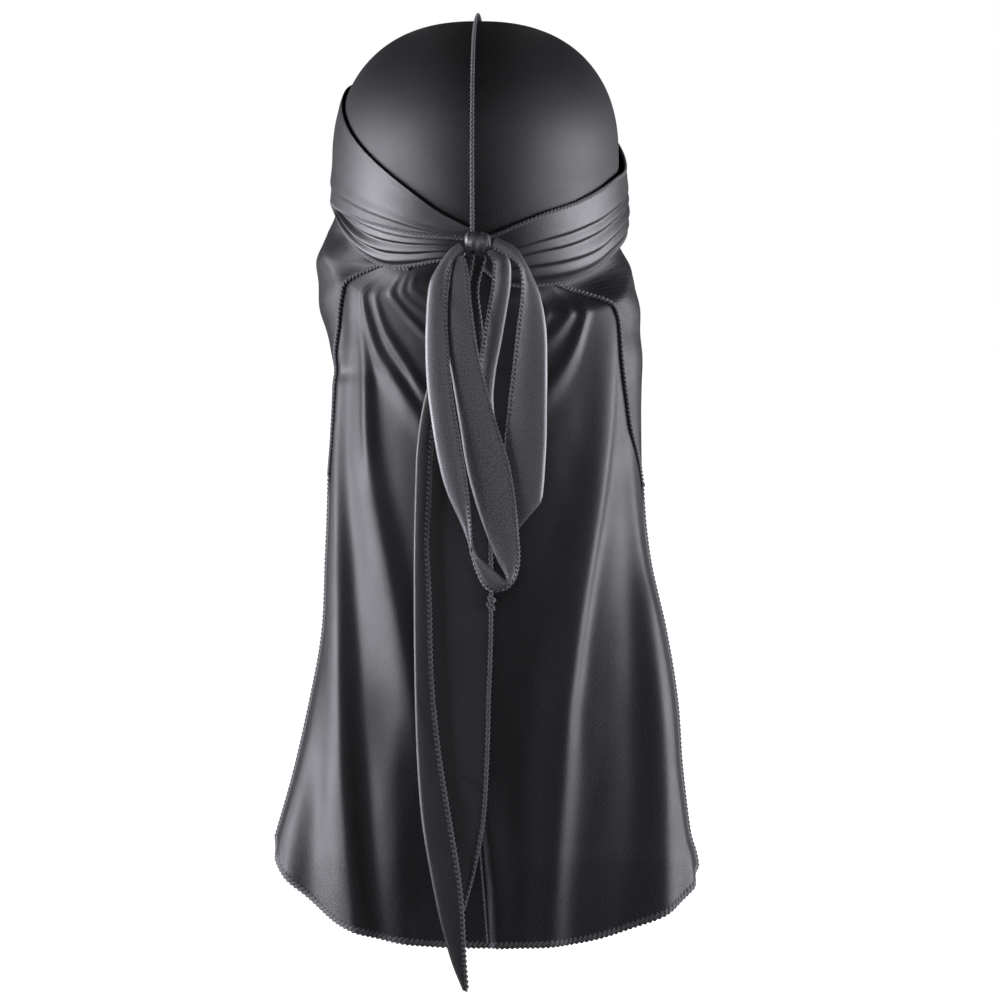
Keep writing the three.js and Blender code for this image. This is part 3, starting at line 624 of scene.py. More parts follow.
def unit(vectors):
    return vectors / np.maximum(np.linalg.norm(vectors, axis=-1, keepdims=True), 1e-9)


def head_share(turn, fall):
    """The share of the head's full width and depth at a fall."""
    rise = np.clip((DOME_HEIGHT - fall) / DOME_HEIGHT, 0, 0.9999)
    dome = (1 - rise**DOME_POWER) ** (1 / DOME_POWER)
    towards_back = np.maximum(np.cos(radians(turn)), 0)
    narrowing = mix(SIDE_NARROWING, NAPE_NARROWING, towards_back)
    below = np.maximum(fall - DOME_HEIGHT, 0) / NARROWING_DEPTH
    return np.where(fall < DOME_HEIGHT, dome, 1 - narrowing * below**2)


def head_point(turn, fall):
    share = head_share(turn, fall)
    x = HEAD_HALF_WIDTH * share * np.sin(radians(turn))
    y = -HEAD_HALF_DEPTH * share * np.cos(radians(turn))
    return stack(x, y, -np.asarray(fall, dtype=float))


def over_head(turn, fall, stand):
    """A point that stands off the head's surface."""
    step = 0.5
    around = head_point(turn + step, fall) - head_point(turn - step, fall)
    down = head_point(turn, fall + step) - head_point(turn, fall - step)
    outward = unit(np.cross(down, around))
    return head_point(turn, fall) + outward * np.asarray(stand)[..., None]


def soft_noise(a, b, seed):
    """Smooth, repeatable unevenness between -1 and 1."""
    total = 0
    for octave in range(3):
        phase = seed * 1.7 + octave * 2.3
        scale = 1.9**octave
        total = total + (
            np.sin(scale * a + phase + 1.3 * np.sin(0.7 * scale * b + phase))
            * np.cos(scale * 0.9 * b - phase + 0.8 * np.sin(scale * 0.6 * a))
            / 1.6**octave
        )
    return total / 2.2


def deselect_all():
    for other in bpy.context.selected_objects:
        other.select_set(False)


def select_only(piece):
    deselect_all()
    piece.select_set(True)
    bpy.context.view_layer.objects.active = piece


def finish_piece(piece, smooth_angle=70):
    """Makes a piece active and smooth, apart from its sharp edges."""
    select_only(piece)
    bpy.ops.object.shade_smooth_by_angle(angle=math.radians(smooth_angle))
    piece.select_set(False)


def mesh_piece(name, points, faces, material, coordinates=None):
    """A new object whose mesh lies at its real place, from points in millimetres."""
    mesh = bpy.data.meshes.new(name)
    mesh.from_pydata((np.asarray(points) * MILLIMETRE).tolist(), [], faces)
    if coordinates is not None:
        layer = mesh.uv_layers.new(name="cloth")
        loops = np.empty(len(mesh.loops), dtype=int)
        mesh.loops.foreach_get("vertex_index", loops)
        layer.data.foreach_set("uv", (coordinates[loops] * MILLIMETRE).ravel())
    mesh.validate()
    piece = bpy.data.objects.new(name, mesh)
    bpy.context.collection.objects.link(piece)
    mesh.materials.append(material)
    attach(piece, "root")
    return piece


def grid_faces(columns, rows, closed=False):
    """Faces of a grid of points that is listed column by column."""
    faces = []
    last = columns if closed else columns - 1
    for column in range(last):
        here = column * rows
        there = ((column + 1) % columns) * rows
        for row in range(rows - 1):
            faces.append((here + row, here + row + 1, there + row + 1, there + row))
    return faces


def arc_lengths(points):
    steps = np.linalg.norm(np.diff(points, axis=0), axis=-1)
    return np.concatenate([[0], np.cumsum(steps)])


def cloth_piece(name, surface, grid, satins, outward, thicker=1.0):
    """A sheet of cloth on a surface of two shares, with its rims closed."""
    materials = [satin(kind) for kind in satins]
    columns, rows = grid
    along, across = np.meshgrid(np.linspace(0, 1, columns), np.linspace(0, 1, rows), indexing="ij")
    points = surface(along, across)
    lengths = arc_lengths(points[:, rows // 2])
    widths = arc_lengths(points[columns // 2])
    coordinates = np.stack(np.meshgrid(lengths, widths, indexing="ij"), axis=-1)
    faces = grid_faces(columns, rows)
    middle = points[columns // 2, rows // 2]
    to_next = points[columns // 2 + 1, rows // 2] - middle
    to_below = points[columns // 2, rows // 2 + 1] - middle
    if np.dot(np.cross(to_below, to_next), outward(middle)) < 0:
        faces = [face[::-1] for face in faces]
    flat_points = points.reshape(-1, 3)
    piece = mesh_piece(name, flat_points, faces, materials[0], coordinates.reshape(-1, 2))
    for other in materials[1:]:
        piece.data.materials.append(other)
    select_only(piece)
    solidify = piece.modifiers.new("wall", "SOLIDIFY")
    solidify.thickness = thicker * bpy.context.scene.durag_cloth.satin_wall
    solidify.offset = 0
    solidify.use_even_offset = False
    if len(materials) > 1:
        solidify.material_offset = 1
    bpy.ops.object.modifier_apply(modifier="wall")
    finish_piece(piece)
    return piece


def rope_path(points, outward, wide=1.0, tall=1.0, stretched=1.0, slim=((0, 1), (1, 1))):
    """A line for thread to lie along, its sizes as multiples of the plain stitch's."""
    cloth = bpy.context.scene.durag_cloth
    half_stitch = cloth.stitch_width / MILLIMETRE / 2
    return {
        "points": points,
        "outward": outward,
        "pitch": stretched * cloth.stitch_pitch / MILLIMETRE,
        "half_width": wide * half_stitch,
        "half_height": tall * half_stitch,
        "slim": slim,
    }


def rope_piece(name, paths):
    """Twisted thread laid along one path or more."""
    all_points = []
    all_faces = []
    for path in paths:
        points = np.asarray(path["points"], dtype=float)
        lengths = arc_lengths(points)
        total = lengths[-1]
        rings = max(int(total / path["pitch"] * ROPE_RINGS), 4)
        at = np.linspace(0, total, rings)
        line = np.stack([np.interp(at, lengths, points[:, axis]) for axis in range(3)], axis=-1)
        out = np.asarray(path["outward"], dtype=float)
        out = np.stack([np.interp(at, lengths, out[:, axis]) for axis in range(3)], axis=-1)
        tangent = unit(np.gradient(line, axis=0))
        out = unit(out - tangent * np.sum(out * tangent, axis=-1, keepdims=True))
        side = np.cross(tangent, out)
        angle = np.linspace(0, 2 * np.pi, ROPE_SIDES, endpoint=False)
        twist = np.pi * at / path["pitch"]
        lobe = np.abs(np.cos(angle[None, :] - twist[:, None]))
        radius = ROPE_CORE + ROPE_LOBE * lobe
        slim = np.interp(at / total, *path["slim"])[:, None]
        ends = np.minimum(1, ROPE_END + np.minimum(at, total - at)[:, None] / path["pitch"])
        wide = radius * ends * slim * path["half_width"] * np.cos(angle)[None, :]
        tall = radius * ends * path["half_height"] * np.sin(angle)[None, :]
        ring_points = (
            line[:, None, :] + side[:, None, :] * wide[..., None] + out[:, None, :] * tall[..., None]
        )
        base = len(all_points)
        all_points.extend(ring_points.reshape(-1, 3).tolist())
        for ring in range(rings - 1):
            here = base + ring * ROPE_SIDES
            there = here + ROPE_SIDES
            for corner in range(ROPE_SIDES):
                following = (corner + 1) % ROPE_SIDES
                all_faces.append((here + corner, there + corner, there + following, here + following))
        all_faces.append(tuple(base + corner for corner in range(ROPE_SIDES)))
        last = base + (rings - 1) * ROPE_SIDES
        all_faces.append(tuple(last + corner for corner in reversed(range(ROPE_SIDES))))
    piece = mesh_piece(name, all_points, all_faces, thread_material())
    finish_piece(piece, smooth_angle=60)
    return piece


def edge_path(surface, fixed, value, count, inset, **sizes):
    """The path of an overlocked edge of a cloth surface, a little inside the edge."""
    run = np.linspace(0, 1, count)
    constant = np.full(count, float(value))
    inner = np.full(count, float(value + (EDGE_STEP if value < 0.5 else -EDGE_STEP)))
    if fixed == "across":
        points = surface(run, constant)
        inside = surface(run, inner)
    else:
        points = surface(constant, run)
        inside = surface(inner, run)
    inward = unit(inside - points)
    tangent = unit(np.gradient(points, axis=0))
    outward = unit(np.cross(tangent, inward))
    away = points * (1, 1, 0)
    if np.sum(outward * away) < 0:
        outward = -outward
    return rope_path(points + inward * inset, outward, **sizes)


def from_head_axis(point):
    """Outward on cloth that wraps or hangs round the head's upright axis."""
    return np.array([point[0], point[1], 0.0])


def sideways(point):
    """Outward on the seam's upright fin, towards the wearer's right."""
    return np.array([1.0, 0.0, 0.0])


def behind(point):
    """Outward on the ribbons, towards someone who stands behind."""
    return np.array([0.0, -1.0, 0.0])


def srgb_to_linear(colour):
    """A hex colour as linear red, green and blue."""
    channels = [int(colour[start:start + 2], 16) / 255 for start in (1, 3, 5)]
    return [c / 12.92 if c <= 0.04045 else ((c + 0.055) / 1.055) ** 2.4 for c in channels]


class DuragCloth(bpy.types.PropertyGroup):
    """Sizes of the durag's cloth and stitching."""

    satin_wall: FloatProperty(
        name="Satin thickness",
        description="Thickness of the drawn cloth",
        default=0.0007,
        unit="LENGTH",
    )
    stitch_pitch: FloatProperty(
        name="Stitch pitch",
        description="Distance between overlock stitches along an edge",
        default=0.0026,
        unit="LENGTH",
    )
    stitch_width: FloatProperty(
        name="Overlock width",
        description="Width of the overlocked edges of the straps and cape",
        default=0.0028,
        unit="LENGTH",
    )
    hem_width: FloatProperty(
        name="Hem width",
        description="Width of the overlocked hem of the cape",
        default=0.0044,
        unit="LENGTH",
    )
    cape_columns: IntProperty(
        name="Cape columns",
        description="Points across the cape",
        default=250,
        min=40,
    )
    cape_rows: IntProperty(
        name="Cape rows",
        description="Points down the cape",
        default=190,
        min=40,
    )


class DuragColours(bpy.types.PropertyGroup):
    """Colours of the durag and of the ground it is shown over."""

    satin: FloatVectorProperty(
        name="Satin face",
        description="Colour of the shiny face of the satin",
        subtype="COLOR",
        size=3,
        default=srgb_to_linear("#101012"),
    )
    reverse: FloatVectorProperty(
        name="Satin reverse",
        description="Colour of the duller reverse of the satin",
        subtype="COLOR",
        size=3,
        default=srgb_to_linear("#101012"),
    )
    # Lighter than the satin face, partly for the two layers and partly as painted light that stands in for
    # the light the knot's and bow's faces catch
    doubled: FloatVectorProperty(
        name="Doubled satin",
        description="Colour of the satin of the knot and the bow",
        subtype="COLOR",
        size=3,
        default=srgb_to_linear("#2c2c30"),
    )
    thread: FloatVectorProperty(
        name="Overlock thread",
        description="Colour of the overlock thread",
        subtype="COLOR",
        size=3,
        default=srgb_to_linear("#303034"),
    )
    ground: FloatVectorProperty(
        name="Ground",
        description="Colour of the plain floor",
        subtype="COLOR",
        size=3,
        default=srgb_to_linear("#f4f4f4"),
    )


# What each satin gives the eye: the property that holds its colour, its roughness and its gloss.
# The cap's is stretched over the head, so its shine is broad and soft. The straps' is pulled
# smooth and shines more than the cape's. The knot's and bow's satin has a lighter colour than the cape's,
# partly for its two layers and partly as painted light, standing in for the light their faces catch.
SATINS = {
    "face": ("satin", 0.44, 0.24),
    "reverse": ("reverse", 0.47, 0.22),
    "stretched": ("satin", 0.56, 0.36),
    "strap": ("satin", 0.44, 0.42),
    "doubled": ("doubled", 0.46, 0.8),
}

# The satin's yarns are 0.1 mm apart, drawn as grain 0.9 mm long and 0.5 mm across so that it shows
GRAINS_PER_METRE = (1100.0, 2000.0, 1.0)

# Slow unevenness, 40 mm across, where the cloth was pressed and handled
CLOUDS_PER_METRE = 25.0

# Single fibres of the thread are too fine to show, so the fuzz is drawn as specks 0.5 mm across
SPECKS_PER_METRE = 2000.0

# How much darker and lighter than its colour the grain of each material goes
SATIN_DARKER = 0.2
SATIN_LIGHTER = 2.6
THREAD_DARKER = 0.5
THREAD_LIGHTER = 1.6


def add_node(tree, kind, settings=None, inputs=None):
    """Adds one shader node, with its settings, and its inputs as values or links."""
    node = tree.nodes.new(kind)
    for name, value in (settings or {}).items():
        setattr(node, name, value)
    for name, value in (inputs or {}).items():
        if isinstance(value, bpy.types.NodeSocket):
            tree.links.new(value, node.inputs[name])
        else:
            node.inputs[name].default_value = value
    return node


def tinted(tree, factor, colour, darker, lighter):
    """A colour that goes from darker to lighter with the grain; returns its socket."""
    mixed = add_node(tree, "ShaderNodeMix", {"data_type": "RGBA"}, {"Factor": factor})
    for name, strength in (("A", darker), ("B", lighter)):
        shade = [min(channel * strength, 1.0) for channel in colour]
        mixed.inputs[name].default_value = (*shade, 1.0)
    return mixed.outputs["Result"]


def blank_material(name):
    """A new material whose only node is its output."""
    material = bpy.data.materials.new(name)
    material.use_nodes = True
    tree = material.node_tree
    tree.nodes.clear()
    return material, tree, add_node(tree, "ShaderNodeOutputMaterial")


def woven_satin(name, colour, roughness, gloss):
    """Polyester satin: long floats give a broad soft shine, and a fine grain breaks it up."""
    if name in bpy.data.materials:
        return bpy.data.materials[name]
    material, tree, output = blank_material(name)
    where = add_node(tree, "ShaderNodeUVMap", {"uv_map": "cloth"})
    stretched = add_node(
        tree,
        "ShaderNodeMapping",
        None,
        {"Vector": where.outputs["UV"], "Scale": GRAINS_PER_METRE},
    )
    weave = add_node(
        tree,
        "ShaderNodeTexNoise",
        {"noise_dimensions": "2D"},
        {"Vector": stretched.outputs["Vector"], "Scale": 1.0, "Detail": 2.0, "Roughness": 0.6},
    )
    clouds = add_node(
        tree,
        "ShaderNodeTexNoise",
        {"noise_dimensions": "2D"},
        {"Vector": where.outputs["UV"], "Scale": CLOUDS_PER_METRE, "Detail": 3.0, "Roughness": 0.5},
    )
    specks = add_node(
        tree,
        "ShaderNodeMapRange",
        None,
        {"Value": weave.outputs["Fac"], "From Min": 0.36, "From Max": 0.64},
    )
    tint = tinted(tree, specks.outputs["Result"], colour, SATIN_DARKER, SATIN_LIGHTER)
    shine = add_node(
        tree,
        "ShaderNodeMapRange",
        None,
        {
            "Value": clouds.outputs["Fac"],
            "From Min": 0.3,
            "From Max": 0.7,
            "To Min": roughness - 0.09,
            "To Max": roughness - 0.03,
        },
    )
    grainy = add_node(
        tree,
        "ShaderNodeMath",
        {"operation": "MULTIPLY_ADD"},
        {0: weave.outputs["Fac"], 1: 0.2, 2: shine.outputs["Result"]},
    )
    bump = add_node(
        tree,
        "ShaderNodeBump",
        None,
        {"Height": weave.outputs["Fac"], "Strength": 0.9, "Distance": 0.00012},
    )
    shader = add_node(
        tree,
        "ShaderNodeBsdfPrincipled",
        None,
        {
            "Base Color": tint,
            "Roughness": grainy.outputs["Value"],
            "Normal": bump.outputs["Normal"],
            "Anisotropic": 0.3,
            "IOR": 1.55,
            "Specular IOR Level": gloss,
        },
    )
    tree.links.new(shader.outputs["BSDF"], output.inputs["Surface"])
    return material


def overlock_thread(name, colour):
    """Spun polyester thread: matt and fuzzy, a little lighter than the satin."""
    if name in bpy.data.materials:
        return bpy.data.materials[name]
    material, tree, output = blank_material(name)
    where = add_node(tree, "ShaderNodeTexCoord")
    fuzz = add_node(
        tree,
        "ShaderNodeTexNoise",
        None,
        {"Vector": where.outputs["Object"], "Scale": SPECKS_PER_METRE, "Detail": 3.0, "Roughness": 0.7},
    )
    bump = add_node(
        tree,
        "ShaderNodeBump",
        None,
        {"Height": fuzz.outputs["Fac"], "Strength": 0.5, "Distance": 0.0003},
    )
    shader = add_node(
        tree,
        "ShaderNodeBsdfPrincipled",
        None,
        {
            "Base Color": tinted(tree, fuzz.outputs["Fac"], colour, THREAD_DARKER, THREAD_LIGHTER),
            "Roughness": 0.72,
            "Normal": bump.outputs["Normal"],
            "Sheen Weight": 0.3,
            "Sheen Roughness": 0.5,
            "IOR": 1.5,
        },
    )
    tree.links.new(shader.outputs["BSDF"], output.inputs["Surface"])
    return material


def satin(kind):
    """The satin of one part of the durag, by its row in the table of satins."""
    colour, roughness, gloss = SATINS[kind]
    colours = bpy.context.scene.durag_colours
    return woven_satin(f"black_polyester_satin_{kind}", getattr(colours, colour), roughness, gloss)


def thread_material():
    return overlock_thread("black_spun_polyester_thread", bpy.context.scene.durag_colours.thread)


def crown_surface(side):
    """One half of the cap between its inner face and its outer one."""
    stand = CROWN_WALL * CROWN_MIDDLE

    def surface(around, down):
        turn = 180 * around
        edge = look_up(CROWN_EDGE, "turn", turn, "fall")
        arc = down * (1 + (edge - DOME_HEIGHT) / DOME_ARC)
        angle = radians(90 * np.minimum(arc, 1))
        below = np.maximum(arc - 1, 0) * DOME_ARC
        dome = arc < 1
        lower_share = head_share(turn, DOME_HEIGHT + below)
        share = np.where(dome, np.sin(angle) ** (2 / DOME_POWER), lower_share)
        rise = np.where(dome, np.maximum(np.cos(angle), 0) ** (2 / DOME_POWER), 0)
        x = (HEAD_HALF_WIDTH + stand) * share * np.sin(radians(turn))
        y = -(HEAD_HALF_DEPTH + stand) * share * np.cos(radians(turn))
        z = (DOME_HEIGHT + stand) * rise - DOME_HEIGHT - below
        uneven = CROWN_UNEVEN * soft_noise(turn / 22, arc * 5, 2.0 + side) * ease(0.05, 0.4, down)
        grow = 1 + uneven / HEAD_HALF_WIDTH
        # The seam draws the cloth in, in small puckers that die out within 12 mm
        pucker = PUCKER_HEIGHT * np.cos(z / PUCKER_WAVE) * np.exp(-np.square(x / PUCKER_REACH))
        grow = grow + pucker / HEAD_HALF_DEPTH
        return stack(side * (x * grow + 0.05), y * grow, z)

    return surface


def seam_line(arc, stand):
    """A point over the cap's middle seam, by its arc from the top, minus towards the front."""
    angle = radians(90 * np.minimum(np.abs(arc), 1))
    below = np.maximum(arc - 1, 0) * DOME_ARC
    share = np.where(arc < 1, np.sin(angle) ** (2 / DOME_POWER), head_share(0, DOME_HEIGHT + below))
    rise = np.where(arc < 1, np.maximum(np.cos(angle), 0) ** (2 / DOME_POWER), 0)
    y = -np.sign(arc) * (HEAD_HALF_DEPTH + stand) * share
    z = (DOME_HEIGHT + stand) * rise - DOME_HEIGHT - below
    return stack(np.zeros_like(y), y, z)


def band_surface(band, pleats):
    """A band wrapped round the head; its pleats gather to the knot and die out in front."""
    first = band["turn"][0]
    last = band["turn"][-1]

    def surface(along, across):
        turn = mix(first, last, along)
        high = look_up(band, "turn", turn, "high")
        low = look_up(band, "turn", turn, "low")
        fall = mix(high, low, across)
        stand = mix(
            look_up(band, "turn", turn, "lift"),
            look_up(band, "turn", turn, "flare"),
            ease(0.35, 1, across),
        )
        fullness = ease(0.01, 0.12, along) * mix(1.0, 0.35, ease(0.5, 0.75, along))
        fullness = fullness * ease(0, 0.1, 1 - along)
        folds = 0
        for crest, before, after, height in pleats:
            drift = crest + PLEAT_DRIFT * soft_noise(turn / 30, crest * 9, 1.0)
            folds = folds + height * ridge(across, drift, before, after)
        stand = stand + folds * fullness
        return over_head(turn, fall, stand)

    return surface


def ribbon_edges(ribbon, at):
    """The folded edge and the open edge of a ribbon, at shares of its length."""
    back = -along_curve(ribbon["back"], at)
    fold = stack(along_curve(ribbon["fold"], at), back, -along_curve(ribbon["fold_fall"], at))
    opened = stack(along_curve(ribbon["open"], at), back, -along_curve(ribbon["open_fall"], at))
    return fold, opened


def ribbon_surface(ribbon, bulge, folded):
    """A ribbon; a folded one is two layers that meet in a soft fold along one edge."""

    def middle(at):
        fold, opened = ribbon_edges(ribbon, np.clip(at, 0, 1))
        return (fold + opened) / 2

    def surface(along, across):
        fold, opened = ribbon_edges(ribbon, along)
        width_way = opened - fold
        length_way = middle(along + RIBBON_STEP) - middle(along - RIBBON_STEP)
        normal = unit(np.cross(length_way, width_way))
        if folded:
            # The two layers run from the open edge to the fold and back
            layer = np.where(across < 0.5, 1.0, -1.0)
            share = np.abs(2 * across - 1)
            from_fold = np.minimum(share / RIBBON_ROUND, 1)
            round_fold = np.sqrt(np.clip(1 - np.square(1 - from_fold), 0, 1))
            lift = layer * RIBBON_GAP / 2 * round_fold
        else:
            share = across
            lift = 0
        crown = bulge * 4 * share * (1 - share)
        point = fold + width_way * share[..., None]
        point = point + normal * np.asarray(lift)[..., None]
        return point + behind(point) * crown[..., None]

    return surface


def ribbon_open_edge(ribbon, count, lift):
    """The open edge of a ribbon and the way out from it, for its overlock."""
    fold, opened = ribbon_edges(ribbon, np.linspace(0, 1, count))
    inward = unit(fold - opened)
    tangent = unit(np.gradient(opened, axis=0))
    outward = unit(np.cross(tangent, inward))
    return opened + inward * lift, outward


def fold_reach(turn, fall):
    """How far sideways the cape's side folds lie, left or right of the middle."""
    return np.where(
        turn < 0,
        look_up(CAPE_SECTIONS, "fall", fall, "left_fold"),
        look_up(CAPE_SECTIONS, "fall", fall, "right_fold"),
    )


def cape_hanging(turn, fall, stand):
    """A point of the freely hanging cape, with its folds."""
    fold = fold_reach(turn, fall)
    back = look_up(CAPE_SECTIONS, "fall", fall, "back")
    side = look_up(CAPE_SECTIONS, "fall", fall, "side")
    sine = np.sin(radians(turn))
    cosine = np.cos(radians(turn))
    across = fold * sine
    folds = 0
    for entry in CAPE_FOLDS:
        height = look_up(entry, "fall", fall, "height")
        height = height * ease(entry["fall"][0] - CAPE_FOLD_LEAD, entry["fall"][0], fall)
        folds = folds + height * ridge(
            across,
            look_up(entry, "fall", fall, "x"),
            look_up(entry, "fall", fall, "left"),
            look_up(entry, "fall", fall, "right"),
        )
    for above, under, entry in CAPE_SWAGS:
        height = look_up(entry, "x", across, "height")
        crest = look_up(entry, "x", across, "fall")
        sag = ridge(fall, crest, SWAG_WIDER_ABOVE * above, SWAG_WIDER_UNDER * under)
        folds = folds + SWAG_DEPTH * height * sag
    folds = folds + CAPE_UNEVEN * soft_noise(across / 13, fall / 60, 4.0) * ease(150, 260, fall)
    folds = folds * (1 - 0.8 * ease(0.93, 1, np.abs(sine)))
    out = stand + folds
    x = (fold + out) * sine
    y = -side - (back - side + out) * cosine
    return stack(x, y, -fall)


def cape_top(turn):
    return look_up(CROWN_EDGE, "turn", np.abs(turn), "fall") - CAPE_TUCK


def cape_hem(turn):
    sine = np.abs(np.sin(radians(turn)))
    left = CAPE_HEM_LEFT[0] * sine ** CAPE_HEM_LEFT[1]
    right = CAPE_HEM_RIGHT[0] * sine ** CAPE_HEM_RIGHT[1]
    return CAPE_HEM_FALL - np.where(turn < 0, left, right)


def cape_point(turn, fall, stand):
    """The cape lies on the head under the bands and hangs freely below their lower edges."""
    left_low = look_up(WRAP_LEFT_LOWER, "turn", turn, "low")
    right_low = look_up(WRAP_RIGHT, "turn", turn, "low")
    leaves = np.where(turn < 0, left_low, right_low)
    free = ease(0, CAPE_FREE_BELOW, fall - leaves)[..., None]
    seated = over_head(turn, fall, CAPE_SEAT + stand)
    return mix(seated, cape_hanging(turn, fall, stand), free)


def cape_surface(along, down):
    """From the left free edge round the left fold, across the back and round the right fold."""
    side = np.where(along < 0.5, -1.0, 1.0)
    rim = side * CAPE_SPREAD
    fold_fall = mix(cape_top(rim), cape_hem(rim), down)
    in_flap = np.clip(1 - np.minimum(along, 1 - along) / CAPE_FLAP_SHARE, 0, 1)
    edge, edge_fall = (
        np.where(
            side < 0,
            look_up(CAPE_FLAP_LEFT, "fold_fall", fold_fall, column),
            look_up(CAPE_FLAP_RIGHT, "fold_fall", fold_fall, column),
        )
        for column in ("edge", "edge_fall")
    )
    reach = fold_reach(side, edge_fall)
    opened = CAPE_FLAP_OPEN * ease(*CAPE_FLAP_OPENS, edge_fall)
    # Lower down, the side no longer folds back, and its edge runs on past the side
    past = ease(*CAPE_FLAP_ENDS, edge_fall)
    edge_stand = mix(CAPE_FLAP_GAP + opened, CAPE_PAST_STAND, past)
    edge_turn = np.degrees(np.arcsin(np.clip(edge / (reach + edge_stand), 0, 1)))
    edge_turn = mix(edge_turn, CAPE_SPREAD + CAPE_EDGE_PAST, past)
    flap_turn = side * mix(CAPE_SPREAD, edge_turn, in_flap)
    flap_fall = mix(fold_fall, edge_fall, in_flap**1.3)
    ripple = FLAP_RIPPLE * np.sin(flap_fall / FLAP_RIPPLE_WAVE + 2.0 * in_flap)
    ripple = ripple * ease(215, 150, flap_fall)
    ripple = ripple * ease(118, 128, flap_fall) * np.sin(np.pi * np.clip(in_flap, 0, 1)) ** 0.5
    # The free edge settles on to the cape behind it
    settled = 1 - FLAP_SETTLING * ease(0.6, 1, in_flap)
    flap_stand = mix((CAPE_FLAP_GAP + opened * in_flap) * settled, CAPE_PAST_STAND, past)
    flap_stand = flap_stand * ease(0, 0.25, in_flap) + ripple
    body = (along - CAPE_FLAP_SHARE) / (1 - 2 * CAPE_FLAP_SHARE)
    body_turn = CAPE_SPREAD * np.clip(2 * body - 1, -1, 1)
    body_fall = mix(cape_top(body_turn), cape_hem(body_turn), down)
    folded = in_flap > 0
    return cape_point(
        np.where(folded, flap_turn, body_turn),
        np.where(folded, flap_fall, body_fall),
        np.where(folded, flap_stand, 0.0),
    )


class DURAG_OT_crown(bpy.types.Operator):
    """Makes both halves of the cap and the raised seam between them"""

    bl_idname = "durag.crown"
    bl_label = "Cap"

    def execute(self, context):
        frontmost = math.acos((1 - SEAM_FRONT_FALL / DOME_HEIGHT) ** (DOME_POWER / 2)) / math.radians(90)
        backmost = 1 + (SEAM_BACK_FALL - DOME_HEIGHT) / DOME_ARC

        def fin(along, up):
            arc = mix(-frontmost, backmost, along)
            return seam_line(arc, SEAM_FOOT + SEAM_HEIGHT * up)

        seam = cloth_piece("centre_seam_allowance", fin, SEAM_GRID, ("face",), sideways, thicker=1.8)
        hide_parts("centre_seam")
        arc = np.linspace(-frontmost, backmost, 400)
        line = seam_line(arc, SEAM_FOOT + SEAM_HEIGHT)
        line[:, 0] = 0.25 * np.sin(np.linspace(0, 9, 400))
        outward = seam_line(arc, SEAM_FOOT + SEAM_HEIGHT + 1) - line
        twist = rope_piece(
            "centre_seam_overlock",
            [rope_path(line, outward, wide=0.95, tall=0.9, slim=SEAM_SLIM)],
        )
        edges = []
        for side, name in ((-1, "left"), (1, "right")):
            surface = crown_surface(side)
            half = cloth_piece(
                f"crown_{name}_satin", surface, CROWN_GRID, ("stretched",), from_head_axis
            )
            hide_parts(f"crown_{name}")
            edges.append(edge_path(surface, "across", 1.0, 260, inset=0.6, tall=STITCH_FLATNESS))
        hem = rope_piece("crown_edge_overlock", edges)
        return {"FINISHED"}


class DURAG_OT_wraps(bpy.types.Operator):
    """Makes the bands that wrap the head and gather at the knot"""

    bl_idname = "durag.wraps"
    bl_label = "Bands"

    def execute(self, context):
        bands = (
            ("wrap_left_upper", WRAP_LEFT_UPPER, PLEATS_LEFT_UPPER, (1.0,), (0.05, 0.30)),
            ("wrap_left_lower", WRAP_LEFT_LOWER, PLEATS_LEFT_LOWER, (1.0,), (0.026, 0.15)),
            ("wrap_right", WRAP_RIGHT, PLEATS_RIGHT, (0.0, 1.0), (0.05, 0.29)),
        )
        for name, table, pleats, stitched, flat in bands:
            surface = band_surface(table, pleats)
            band = cloth_piece(f"{name}_satin", surface, BAND_GRID, ("strap",), from_head_axis)
            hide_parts(name)
            paths = [
                edge_path(
                    surface, "across", value, 300, inset=0.8, wide=0.85, tall=0.9 * STITCH_FLATNESS
                )
                for value in stitched
            ]
            edge = rope_piece(f"{name}_overlock", paths)
        return {"FINISHED"}


class DURAG_OT_knot(bpy.types.Operator):
    """Makes the knot, a strap wound once round the gathered bow"""

    bl_idname = "durag.knot"
    bl_label = "Knot"

    def execute(self, context):
        columns, rows = KNOT_GRID
        angle = np.linspace(0, 2 * np.pi, columns, endpoint=False)[:, None]
        across = np.linspace(-1, 1, rows)[None, :]
        # The strap's pleats run round the knot, and its sides roll in to the ribbons
        profile = (1 - np.abs(across) ** 4.5) ** (1 / 2.6)
        pleats = 0
        for crest, width, height in KNOT_PLEATS:
            lean = crest + 0.12 * np.sin(angle + crest)
            pleats = pleats + height * ridge(across, lean, width, width * 0.55)
        radius = 0.88 * profile + 0.12 * pleats * profile
        squeeze = 1 - KNOT_SQUEEZE * np.cos(2 * angle)
        x = KNOT_CENTRE[0] + KNOT_HALF[0] * across
        y = KNOT_CENTRE[1] - KNOT_HALF[1] * radius * np.cos(angle) * squeeze
        z = KNOT_CENTRE[2] + KNOT_HALF[2] * radius * np.sin(angle) * squeeze - KNOT_TILT * across
        points = stack(x, y, z)
        faces = grid_faces(columns, rows, closed=True)
        faces = [face[::-1] for face in faces]
        faces.append(tuple(column * rows for column in range(columns)))
        faces.append(tuple(column * rows + rows - 1 for column in reversed(range(columns))))
        lengths = np.broadcast_to(angle * KNOT_HALF[1], (columns, rows))
        widths = np.broadcast_to(across * KNOT_HALF[0], (columns, rows))
        coordinates = np.stack([lengths, widths], axis=-1).reshape(-1, 2)
        knot = mesh_piece("knot_satin", points.reshape(-1, 3), faces, satin("doubled"), coordinates)
        finish_piece(knot)
        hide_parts("knot")
        return {"FINISHED"}


